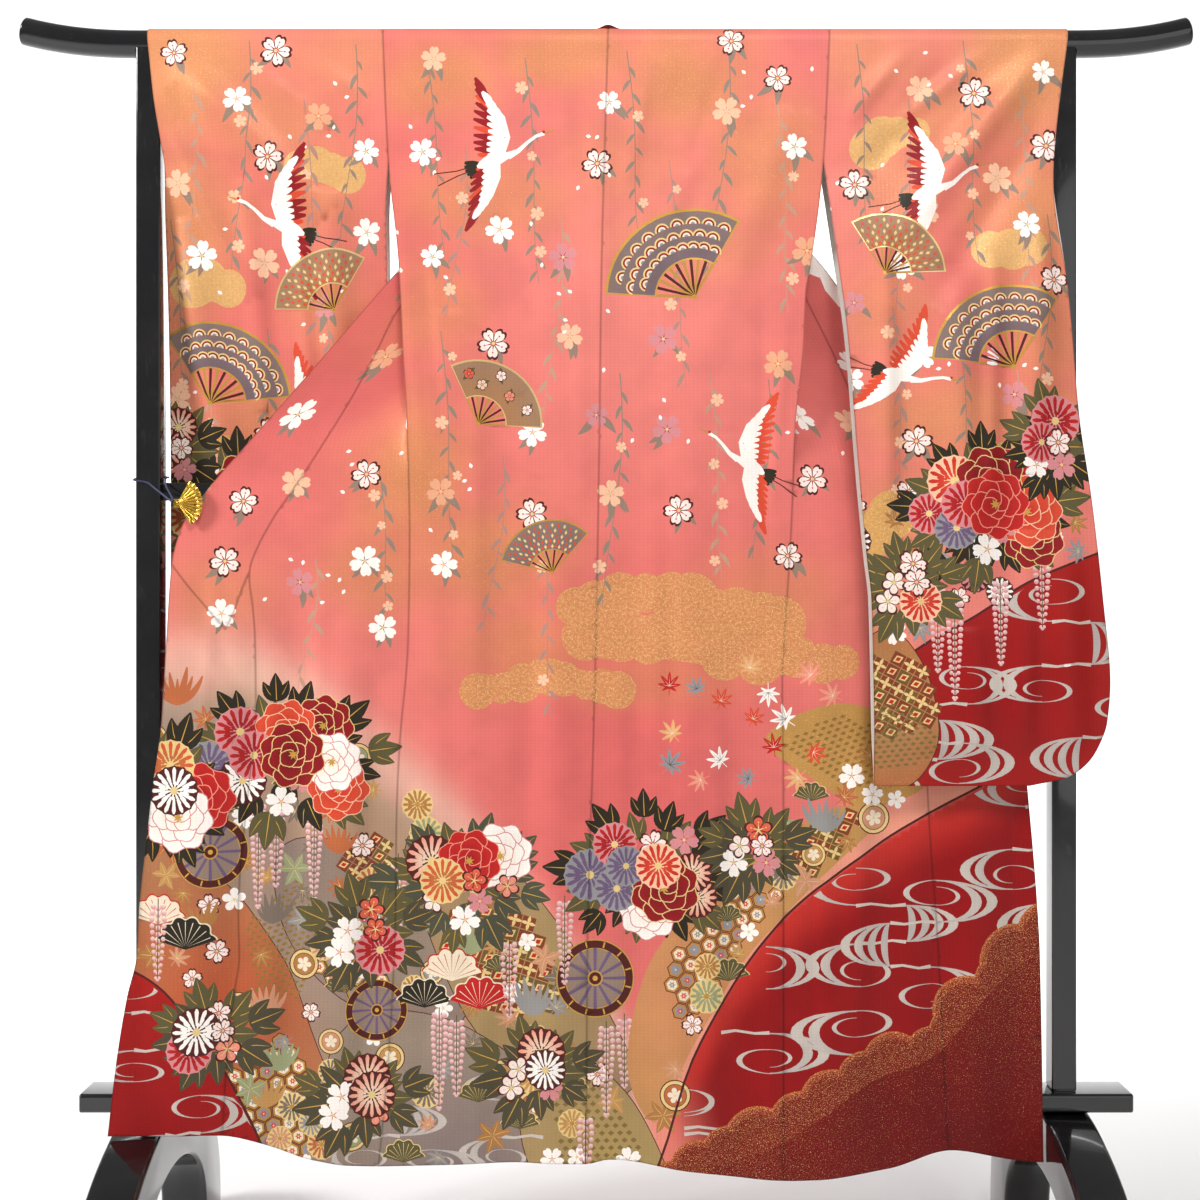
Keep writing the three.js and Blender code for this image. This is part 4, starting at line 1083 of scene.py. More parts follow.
def edge_distance(points, outline):
    """Distance from each point to the outline, and the edge of it that is nearest."""
    a, b = outline, np.roll(outline, -1, axis=0)
    run = b - a
    near, which = [], []
    for part in np.array_split(points, max(1, len(points) // 4000)):
        off = part[:, None] - a
        t = np.clip(np.sum(off * run, 2) / np.sum(run * run, 1), 0, 1)
        gap = np.linalg.norm(off - t[..., None] * run, axis=2)
        which.append(gap.argmin(1))
        near.append(gap.min(1))
    return np.concatenate(near), np.concatenate(which)


def lattice(outline, step):
    """Points that fill an outline: rows of evenly spaced points, staggered, and one row just
    inside the edge, where the cloth rolls towards its seam."""
    low, high = outline.min(0), outline.max(0)
    u = np.arange(low[0], high[0], step)
    v = np.arange(low[1], high[1], step)
    grid_u, grid_v = np.meshgrid(u, v)
    grid_u = grid_u + (np.arange(len(v)) % 2)[:, None] * step / 2
    points = np.stack([grid_u.ravel(), grid_v.ravel()], -1)
    points = points[inside(points, outline)]
    points = points[edge_distance(points, outline)[0] > 0.6 * step]
    inward = unit(to_left(np.roll(outline, -1, axis=0) - np.roll(outline, 1, axis=0)))
    rolled = outline + 2.4 * inward
    rolled = rolled[inside(rolled, outline)]
    rolled = rolled[edge_distance(rolled, outline)[0] > 2.0]
    return np.concatenate([points, rolled])


def triangles(outline, step, picture=None):
    """Fills an outline with triangles that no edge of the picture crosses. Returns the points,
    the triangles, the topmost shape on each of them, and where the outline's points went."""
    points = [outline, lattice(outline, step)]
    faces = [list(range(len(outline)))]
    count = sum(len(part) for part in points)
    used = []
    if picture:
        low, high = outline.min(0), outline.max(0)
        for number, shape in enumerate(picture.shapes):
            if np.all(shape.max(0) > low) and np.all(shape.min(0) < high):
                if not inside(shape, outline).any():
                    continue
                faces.append(list(range(count, count + len(shape))))
                points.append(shape)
                count += len(shape)
                used.append(number)
    flat = [Vector(point) for point in np.concatenate(points)]
    found, _, cells, origin, _, over = delaunay_2d_cdt(flat, [], faces, 1, 1e-4, True)
    places = np.array([tuple(point) for point in found])
    keep = [i for i, names in enumerate(over) if 0 in names]
    cells = np.array([cells[i] for i in keep])
    top = np.array([max(over[i]) for i in keep])
    top = np.where(top > 0, np.array([-1, *used])[top], -1)
    went = np.full(len(outline), -1)
    for new, olds in enumerate(origin):
        for old in olds:
            if old < len(outline):
                went[old] = new
    return places, cells, top, went


def cloth_piece(name, surface, outline, picture, ground):
    """A closed shell of cloth. Its outer skin carries the picture, its inner skin is the
    lining, and a narrow rim joins them. Both skins are the surface moved half the cloth's
    thickness along its normal; the outer one rolls down towards its edge."""
    silk = bpy.context.scene.furisode_silk
    wall, step = silk.wall / MM, silk.lattice / MM
    skin, cells, top, went = triangles(outline, step, picture)
    under, under_cells, _, under_went = triangles(outline, step * 1.6)

    def placed(points, way, roll):
        u, v = points.T
        reach = 0.5
        across = surface(u + reach, v) - surface(u - reach, v)
        up = surface(u, v + reach) - surface(u, v - reach)
        normal = unit(np.cross(across, up))
        return surface(u, v) + normal * (way * wall / 2 - roll)[:, None], normal * way

    gap, _ = edge_distance(skin, outline)
    roll = silk.roll / MM * np.exp(-((gap / 1.8) ** 2))
    outer, outer_normal = placed(skin, 1, roll)
    inner, inner_normal = placed(under, -1, np.zeros(len(under)))
    under_cells = under_cells[:, ::-1] + len(skin)
    # The rim: a fan from each inner corner to the outer edges of its stretch of the outline
    edges = np.concatenate([cells[:, [0, 1]], cells[:, [1, 2]], cells[:, [2, 0]]])
    key = edges.min(1) * len(skin) + edges.max(1)
    _, where, often = np.unique(key, return_index=True, return_counts=True)
    rim = edges[where[often == 1]]
    _, stretch = edge_distance((skin[rim[:, 0]] + skin[rim[:, 1]]) / 2, outline)
    low_corner = under_went[stretch] + len(skin)
    fans = np.stack([rim[:, 1], rim[:, 0], low_corner], -1)
    now, after = np.arange(len(outline)), np.roll(np.arange(len(outline)), -1)
    closing = np.stack(
        [went[after], under_went[now] + len(skin), under_went[after] + len(skin)], -1
    )
    rim_cells = np.concatenate([fans, closing])
    all_cells = np.concatenate([cells, rim_cells, under_cells])
    points = np.concatenate([outer, inner])
    corners = all_cells.ravel()
    flat = np.concatenate([skin, under])[corners]
    corner_normals = np.concatenate([outer_normal, inner_normal])[corners]
    a, b, c = (points[rim_cells[:, i]] for i in range(3))
    rim_normal = unit(np.cross(b - a, c - a))
    first, last = len(cells) * 3, (len(cells) + len(rim_cells)) * 3
    corner_normals[first:last] = np.repeat(rim_normal, 3, axis=0)

    mesh = bpy.data.meshes.new(name)
    mesh.from_pydata(points * MM, [], all_cells)
    colour = np.empty((len(corners), 4))
    colour[:, :3], foil, fleck = dyed(flat, np.repeat(top, 3), picture, ground, first)
    # Painted shade along the seams: the dye is darkened by up to a half within a couple of
    # millimetres of the outline, a thin dark line where the cloth turns into its seam.
    painted_seam_shade = np.exp(-((gap[cells.ravel()] / 1.2) ** 2))
    colour[:first, :3] *= (1 - 0.5 * painted_seam_shade)[:, None]
    colour[:, 3] = 1
    colour[last:, :3] = lining(*flat[last:].T)
    colour[first:last, :3] = ground(*flat[first:last].T)[0] * 0.8
    for title, kind, values in (
        ("dye", "FLOAT_COLOR", colour), ("foil", "FLOAT", foil), ("fleck", "FLOAT", fleck)
    ):
        layer = mesh.attributes.new(title, kind, "CORNER")
        layer.data.foreach_set("color" if kind == "FLOAT_COLOR" else "value", values.ravel())
    layer = mesh.uv_layers.new(name="cloth")
    flat_uv = flat.copy()
    flat_uv[last:, 0] = 4000 - flat_uv[last:, 0]
    layer.data.foreach_set("uv", (flat_uv * MM).ravel())
    slots = np.zeros(len(all_cells), int)
    slots[last // 3 :] = 1
    mesh.polygons.foreach_set("material_index", slots)
    mesh.shade_smooth()
    mesh.normals_split_custom_set(corner_normals)
    mesh.update()
    piece = bpy.data.objects.new(name, mesh)
    bpy.context.scene.collection.objects.link(piece)
    return piece


def dyed(flat, top, picture, ground, count):
    """Colour, foil and fleck of each corner: the topmost shape's where one covers it, and the
    ground's elsewhere."""
    colour = np.zeros((len(flat), 3))
    foil, fleck = np.zeros(len(flat)), np.zeros(len(flat))
    colour[:count], foil[:count], fleck[:count] = ground(*flat[:count].T)
    drawn = np.flatnonzero(top >= 0)
    if len(drawn):
        fact = np.array(picture.facts)[top[drawn]]
        away = np.linalg.norm(flat[drawn] - fact[:, 6:8], axis=1) / fact[:, 8]
        share = np.clip(away, 0, 1)[:, None]
        colour[drawn] = lerp(fact[:, :3], fact[:, 3:6], share)
        foil[drawn] = fact[:, 9]
        fleck[drawn] = lerp(fact[:, 10], fact[:, 11], share[:, 0])
    return colour, foil, fleck


# ---------------------------------------------------------------- materials
def nodes_of(name):
    material = bpy.data.materials.new(name)
    material.use_nodes = True
    tree = material.node_tree
    shader = next(made for made in tree.nodes if made.type == "BSDF_PRINCIPLED")
    return material, tree, shader


def fit(tree, sockets, values):
    """Joins each value to its socket, or sets it there; values go by name or number."""
    for key, value in dict(values).items():
        if isinstance(value, bpy.types.NodeSocket):
            tree.links.new(value, sockets[key])
        else:
            sockets[key].default_value = value


def node(tree, kind, values=(), **settings):
    """A node with its settings and its inputs."""
    made = tree.nodes.new(kind)
    for key, value in settings.items():
        setattr(made, key, value)
    fit(tree, made.inputs, values)
    return made


def maths(tree, operation, *values):
    made = node(tree, "ShaderNodeMath", enumerate(values), operation=operation)
    return made.outputs[0]


def mixed(tree, share, first, second, blend="MIX"):
    """Two colours mixed by a share."""
    values = {0: share, 6: first, 7: second}
    return node(tree, "ShaderNodeMix", values, data_type="RGBA", blend_type=blend).outputs[2]


def bumped(tree, shader, height, strength, distance):
    """Roughens a shader's surface by a height."""
    values = {"Height": height, "Strength": strength, "Distance": distance}
    fit(tree, shader.inputs, {"Normal": node(tree, "ShaderNodeBump", values).outputs[0]})


def attribute(tree, name, output="Fac"):
    return node(tree, "ShaderNodeAttribute", attribute_name=name).outputs[output]


def shaded(tree, colour, shade):
    """A colour times a brightness."""
    grey = node(tree, "ShaderNodeCombineColor", {0: shade, 1: shade, 2: shade}).outputs[0]
    return mixed(tree, 1.0, colour, grey, "MULTIPLY")


def solid(colour):
    return (*colour, 1)


def group(name, inputs, outputs):
    """An empty shader node group with its sockets. Each is (name, kind) or has a default."""
    tree = bpy.data.node_groups.new(name, "ShaderNodeTree")
    kinds = {"value": "NodeSocketFloat", "vector": "NodeSocketVector"}
    for title, kind in inputs:
        tree.interface.new_socket(title, in_out="INPUT", socket_type=kinds[kind])
    for title, kind in outputs:
        tree.interface.new_socket(title, in_out="OUTPUT", socket_type=kinds[kind])
    given = tree.nodes.new("NodeGroupInput")
    made = tree.nodes.new("NodeGroupOutput")
    return tree, given.outputs, made.inputs


def use(tree, name, values):
    made = tree.nodes.new("ShaderNodeGroup")
    made.node_tree = bpy.data.node_groups[name]
    fit(tree, made.inputs, values)
    return made.outputs


def noise(tree, at, scale, detail=3.0, rough=0.55):
    values = {"Vector": at, "Scale": scale, "Detail": detail, "Roughness": rough}
    return node(tree, "ShaderNodeTexNoise", values).outputs[0]


def between(tree, value, low, high, to_low=0.0, to_high=1.0):
    """A value carried from one range to another, held at its ends."""
    values = {0: value, 1: low, 2: high, 3: to_low, 4: to_high}
    return node(tree, "ShaderNodeMapRange", values, interpolation_type="SMOOTHSTEP").outputs[0]


def make_groups():
    """The effects that more than one material uses: figured silk weave and lacquer wear."""
    tree, given, made = group(
        "figured_weave", [("Cloth", "vector"), ("Fineness", "value")],
        [("Height", "value"), ("Figure", "value")],
    )
    at = node(
        tree, "ShaderNodeVectorMath", {0: given["Cloth"], "Scale": given["Fineness"]},
        operation="SCALE",
    )
    flat = node(tree, "ShaderNodeSeparateXYZ", {0: at.outputs[0]}).outputs
    # lozenges: two sets of slanted ribs, cut into steps
    lean = maths(tree, "MULTIPLY", flat[0], 520.0)
    rise = maths(tree, "MULTIPLY", flat[1], 700.0)
    one = maths(tree, "SINE", maths(tree, "ADD", lean, rise))
    two = maths(tree, "SINE", maths(tree, "SUBTRACT", lean, rise))
    figure = between(tree, maths(tree, "MULTIPLY", one, two), -0.12, 0.12)
    grain = noise(tree, at.outputs[0], 900.0, 2.0, 0.6)
    high = maths(tree, "MULTIPLY_ADD", figure, 0.55, maths(tree, "MULTIPLY", grain, 0.8))
    fit(tree, made, {"Height": high, "Figure": figure})

    tree, given, made = group(
        "lacquer_wear", [("Place", "vector"), ("Amount", "value")],
        [("Haze", "value"), ("Height", "value")],
    )
    cloudy = between(tree, noise(tree, given["Place"], 9.0), 0.35, 0.75)
    dust = between(tree, noise(tree, given["Place"], 420.0, 2.0, 0.7), 0.66, 0.74)
    lines = noise(tree, stretched(tree, given["Place"], (30.0, 300.0, 8.0)), 6.0, 2.0, 0.5)
    haze = maths(tree, "MULTIPLY_ADD", dust, 0.35, maths(tree, "MULTIPLY", cloudy, 0.3))
    haze = maths(tree, "MULTIPLY_ADD", between(tree, lines, 0.62, 0.7), 0.25, haze)
    haze = maths(tree, "MULTIPLY", haze, given["Amount"])
    fit(tree, made, {"Haze": haze, "Height": noise(tree, given["Place"], 26.0, 2.0, 0.4)})


def stretched(tree, at, scale):
    return node(tree, "ShaderNodeMapping", {"Vector": at, "Scale": scale}).outputs[0]


def flat_cloth(tree):
    return node(tree, "ShaderNodeUVMap", uv_map="cloth").outputs[0]


def on_object(tree):
    return node(tree, "ShaderNodeTexCoord").outputs["Object"]


def dyed_silk():
    """Lined silk crepe: the dye is each corner's colour, uneven over a hand's width, with the
    weave's lozenges a shade lighter, gold flecks where the cloth is sprinkled, and foil."""
    material, tree, shader = nodes_of("dyed_silk")
    cloth = flat_cloth(tree)
    foil, fleck = attribute(tree, "foil"), attribute(tree, "fleck")
    weave = use(tree, "figured_weave", {"Cloth": cloth, "Fineness": 1.0})
    uneven = between(tree, noise(tree, cloth, 14.0, 4.0), 0.3, 0.7, 0.94, 1.05)
    figure = between(tree, weave["Figure"], 0.0, 1.0, 0.97, 1.02)
    colour = shaded(tree, attribute(tree, "dye", "Color"), maths(tree, "MULTIPLY", uneven, figure))
    grains = noise(tree, cloth, 620.0, 2.0, 0.75)
    level = maths(tree, "MULTIPLY_ADD", fleck, -0.24, 0.74)
    spots = maths(tree, "GREATER_THAN", grains, level)
    spots = maths(tree, "MULTIPLY", spots, maths(tree, "GREATER_THAN", fleck, 0.02))
    glint = between(tree, noise(tree, cloth, 230.0, 2.0, 0.6), 0.35, 0.65)
    gold = mixed(tree, glint, solid(linear("#C98C4C")), solid(linear("#F2CE8A")))
    metal = maths(tree, "MAXIMUM", foil, maths(tree, "MULTIPLY", spots, 0.35))
    rough = between(tree, weave["Figure"], 0.0, 1.0, 0.5, 0.44)
    fit(tree, shader.inputs, {
        "Base Color": mixed(tree, maths(tree, "MULTIPLY", spots, 0.85), colour, gold),
        "Metallic": metal,
        "Roughness": maths(tree, "MULTIPLY_ADD", metal, -0.12, rough),
        "Specular IOR Level": 0.2,
        "Sheen Weight": 0.04,
        "Sheen Roughness": 0.4,
        "Sheen Tint": (1.0, 0.86, 0.82, 1),
    })
    bumped(tree, shader, weave["Height"], 0.16, 0.0004)
    return material


def lining_silk():
    """Plain finer silk: white, or pink where the corner's colour is."""
    material, tree, shader = nodes_of("lining_silk")
    cloth = flat_cloth(tree)
    weave = use(tree, "figured_weave", {"Cloth": cloth, "Fineness": 2.2})
    shade = between(tree, noise(tree, cloth, 20.0, 4.0), 0.3, 0.7, 0.93, 1.03)
    fit(tree, shader.inputs, {
        "Base Color": shaded(tree, attribute(tree, "dye", "Color"), shade),
        "Roughness": between(tree, weave["Figure"], 0.0, 1.0, 0.6, 0.5),
        "Sheen Weight": 0.15,
    })
    bumped(tree, shader, weave["Height"], 0.2, 0.0003)
    return material


def black_lacquer():
    """Deep black under a clear coat, a little hazy and dusty where it was handled."""
    material, tree, shader = nodes_of("black_lacquer")
    black = bpy.context.scene.furisode_stand.lacquer
    wear = use(tree, "lacquer_wear", {"Place": on_object(tree), "Amount": 1.0})
    fit(tree, shader.inputs, {
        "Base Color": mixed(tree, wear["Haze"], solid(black), solid(linear("#2A2624"))),
        "Roughness": maths(tree, "MULTIPLY_ADD", wear["Haze"], 0.3, 0.09),
        "Coat Weight": 0.6,
        "Coat Roughness": 0.04,
    })
    bumped(tree, shader, wear["Height"], 0.05, 0.002)
    return material


def gilt_metal():
    """Brushed gilding with brown tarnish in soft patches."""
    material, tree, shader = nodes_of("gilt_metal")
    at, gilt = on_object(tree), bpy.context.scene.furisode_stand.gilt
    lines = noise(tree, stretched(tree, at, (900.0, 400.0, 120.0)), 3.0, 2.0, 0.5)
    tarnish = between(tree, noise(tree, at, 160.0, 4.0), 0.45, 0.75)
    fit(tree, shader.inputs, {
        "Base Color": mixed(tree, tarnish, solid(gilt), solid(linear("#8A6522"))),
        "Metallic": 1.0,
        "Roughness": between(tree, lines, 0.3, 0.7, 0.18, 0.36),
    })
    bumped(tree, shader, lines, 0.15, 0.0002)
    return material


def navy_cord():
    """Soft twisted fibres in two shades of navy."""
    material, tree, shader = nodes_of("navy_cord")
    fibres = noise(tree, on_object(tree), 1500.0, 3.0, 0.7)
    share, navy = between(tree, fibres, 0.3, 0.7), bpy.context.scene.furisode_stand.cord
    fit(tree, shader.inputs, {
        "Base Color": mixed(tree, share, solid(navy), solid(linear("#2F3668"))),
        "Roughness": 0.8,
        "Sheen Weight": 0.3,
    })
    bumped(tree, shader, fibres, 0.4, 0.0003)
    return material


FINISHES = {
    "dyed_silk": dyed_silk, "lining_silk": lining_silk, "black_lacquer": black_lacquer,
    "gilt_metal": gilt_metal, "navy_cord": navy_cord,
}


def finish_piece(piece, slot, *names):
    """Gives a piece its materials, and lets it ride on the part's one body."""
    for name in names:
        made = bpy.data.materials.get(name) or FINISHES[name]()
        piece.data.materials.append(made)
    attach(piece, "root")


# ---------------------------------------------------------------- pictures of the robe
def scatter(seed, count, low, high, apart, keep=None):
    """Points strewn over a box, none nearer to another than apart."""
    random = np.random.default_rng(seed)
    found = []
    for _ in range(count * 40):
        spot = random.uniform(low, high)
        if keep is not None and not keep(*spot):
            continue
        if all(math.dist(spot, other) > apart for other in found):
            found.append(spot)
        if len(found) == count:
            break
    return found


def strewn(pic, seed, count, low, high, apart, keep=None):
    """Cherry blossoms as they are strewn over the plain ground: white ones with a dark line
    round them, plain white ones, faint peach and rose ones, and some loose petals."""
    random = np.random.default_rng(seed + 1)
    kinds = ((WHITE, BARK, RED), (WHITE, None, BARK), (PEACH, None, ROSE), (WHITE, BARK, RED),
             (ROSE, None, CRIMSON), (WHITE, None, ROSE), ("#DFA07C", None, VERMILION))
    for k, spot in enumerate(scatter(seed, count, low, high, apart, keep)):
        petal, line, heart = kinds[k % len(kinds)]
        size = random.uniform(22, 26) if line else random.uniform(18, 24)
        for _ in range(2):
            leaf(pic, spot, random.uniform(30, 40), -math.pi / 2 + random.uniform(-1, 1),
                 TAUPE, 0.13, None)
        blossom(pic, spot, size, random.uniform(0, 6), petal, line, heart)
        if k % 3 == 1:
            for _ in range(4):
                fallen = spot + random.uniform(-56, 56, 2)
                pic.add(place(lens(8, 2.6, 0, 5), fallen, random.uniform(0, 6)), WHITE)


def twigs(pic, seed, rows):
    """Willow twigs. Each row is u and v of the top, length, sway and the number of leaves."""
    shades = (TAUPE, "#A97F72", "#8D7B6C", "#B98E77")
    for k, (u, v, length, sway, leaves) in enumerate(rows):
        twig(pic, (u, v), length, sway, shades[k % 4], leaves, 21, k % 3 * 2, seed + k)


# where the taupe hills and the red water begin: u, v of their upper edges
hill_top = curve_through(
    [(-720, 900), (-560, 905), (-430, 850), (-330, 765), (-240, 690), (-150, 590), (-60, 470),
     (20, 360), (80, 150)]
)
water_top = curve_through(
    [(20, 100), (75, 190), (120, 330), (180, 440), (260, 545), (340, 610), (430, 670), (540, 730),
     (660, 790)]
)
corner_top = curve_through(
    [(-740, 500), (-640, 450), (-560, 350), (-500, 240), (-460, 120)]
)
shore_top = curve_through(
    [(60, 130), (150, 196), (230, 222), (300, 262), (380, 318), (470, 352), (560, 452),
     (650, 520)]
)


def water(pic, seed, size, low, high, top, colour=SILVER):
    """Streams in staggered rows over a box, under the curve top."""
    number = seed
    for row, v in enumerate(np.arange(high[1], low[1], -2.5 * size)):
        for u in np.arange(low[0] + (0.7 + 1.6 * (row % 2)) * size, high[0] + size, 3.35 * size):
            number += 1
            start = (u, min(v + (number % 3 - 1) * 0.3 * size, float(top(np.array(u))) - 10))
            stream(pic, start, size, 1 if row % 2 else -1, 3, number, top, colour)


def scalloped(pic, edge, radius, seed, shades):
    """A bank with a scalloped edge: round lobes along a line in layers that get smaller, each
    with a colour and fewer sprinkles than the one under it."""
    random = np.random.default_rng(seed)
    run = run_length(edge)
    lobes, at = [], 0.0
    while at < run[-1]:
        size = radius * random.uniform(0.75, 1.3)
        lobes.append((point_at(at, run, edge), size))
        at += 1.2 * size
    for share, colour, fleck in shades:
        for spot, size in lobes:
            pic.add(place(disc(size * share, 30), spot), colour, 0, fleck)


def lower_left(pic):
    """Slopes of muted colours that pass into each other, each with figures of its own, under
    small things of every kind."""
    slopes = (
        ([(-720, 690), (-600, 640), (-500, 540), (-430, 400), (-370, 140), (-720, 140)],
         "#B54F2E", "#A4744E", (-560, 420), 260),
        ([(-470, 640), (-380, 650), (-280, 560), (-200, 420), (-260, 380), (-380, 430),
          (-460, 520)], "#94806B", "#8A756A", (-330, 520), 160),
        ([(-290, 640), (-200, 660), (-90, 560), (-10, 430), (40, 300), (-80, 300), (-200, 400)],
         "#A68B55", "#94765C", (-120, 450), 220),
        ([(-380, 380), (-240, 400), (-120, 330), (-40, 230), (0, 130), (-400, 130)],
         "#7F6E6C", "#93806F", (-220, 180), 200),
        ([(-110, 340), (-30, 340), (50, 260), (90, 130), (-60, 130), (-120, 220)],
         "#A88D54", "#9A7F5A", (0, 200), 160),
    )
    for outline, colour, other, middle, reach in slopes:
        patch(pic, outline, colour, BARK, 1.3, 0, (0.1, 0.3), (other, middle, reach))
    lozenges(pic, np.array([(-520, 540), (-440, 600), (-400, 520), (-440, 420), (-500, 440)]), 12,
             "#8A6C2E", 0.3)
    honeycomb(pic, np.array([(-560, 300), (-460, 380), (-410, 300), (-400, 200), (-500, 200)]), 13,
              0.12)
    honeycomb(pic, np.array([(-420, 470), (-330, 560), (-280, 500), (-350, 420)]), 12, 0.4)
    tiles(pic, np.array([(-250, 520), (-170, 600), (-90, 520), (-60, 420), (-160, 400)]), 14, 0.5)
    tiles(pic, np.array([(-400, 620), (-330, 660), (-280, 610), (-340, 570)]), 12, 0.2)
    lozenges(pic, np.array([(-80, 330), (-20, 320), (40, 240), (60, 160), (-60, 160)]), 13,
             "#7E6636", 0.0, flat=0.8)
    water(pic, 140, 58, (-380, 150), (-60, 340),
          curve_through([(-420, 100), (-350, 330), (-240, 380), (-120, 310), (-30, 120)]),
          "#C2B6AC")
    edge = np.arange(-740, -461, 10.0)
    line = np.stack([edge, corner_top(edge)], -1)
    pic.add(np.concatenate([line, [(-740, 120)]]), "#8E0B0E", 0, 0,
            ("#A01914", (-640, 260), 220))
    water(pic, 150, 62, (-720, 150), (-480, 470), corner_top)
    pic.add(ribbon(line, 1.7), BARK)
    region = lambda u, v: corner_top(u) + 14 < v < hill_top(u) - 10
    sprinkle_things(pic, scatter(50, 130, (-700, 190), (60, 860), 33, region), 17, MUTED)
    for at, size in (((-566, 640), 52), ((-16, 455), 56), ((-330, 410), 44)):
        wheel(pic, at, size)
    for k, spot in enumerate([(-222, 455), (-262, 415), (-182, 415), (-640, 540), (-600, 505)]):
        pine(pic, spot, 46 - 4 * (k % 2), math.pi / 2, (CREAM, DARK_LEAF, RED)[k % 3],
             (RED, CREAM, CREAM)[k % 3])
    for u, v, length in ((-500, 700, 150), (-475, 690, 110), (-420, 690, 130), (-240, 400, 140),
                         (-215, 390, 110), (-60, 560, 120), (0, 380, 130), (26, 390, 100),
                         (-140, 500, 110), (-640, 560, 110), (-30, 250, 90), (-300, 620, 110)):
        wisteria(pic, (u, v), length)


def sprinkle_things(pic, spots, seed, muted):
    """Small things of every kind, by turns, in muted colours."""
    random = np.random.default_rng(seed)
    for k, spot in enumerate(spots):
        tone = muted[k % len(muted)]
        kind, size = k % 9, random.uniform(0.85, 1.2)
        turn = random.uniform(0, 6)
        if kind in (0, 5):
            maple(pic, spot, 21 * size, turn, tone, STRAW)
        elif kind == 1:
            plum(pic, spot, 15 * size, turn, (VERMILION, WHITE, PEACH)[k % 3], None)
        elif kind == 2:
            roundel(pic, spot, 20 * size, STRAW, tone)
        elif kind == 3:
            chrysanthemum(pic, spot, 21 * size, tone, STRAW, OCHRE, 14)
        elif kind == 4:
            reeds(pic, spot, 46 * size, tone, k)
        elif kind == 6:
            pine(pic, spot, 28 * size, math.pi / 2, (OLIVE, CREAM, SMOKE)[k % 3], STRAW)
        elif kind == 7:
            leaf_ring(pic, spot, 26 * size, 6, tone, STRAW, turn)
        else:
            blossom(pic, spot, 18 * size, turn, WHITE, BARK if k % 2 else None)



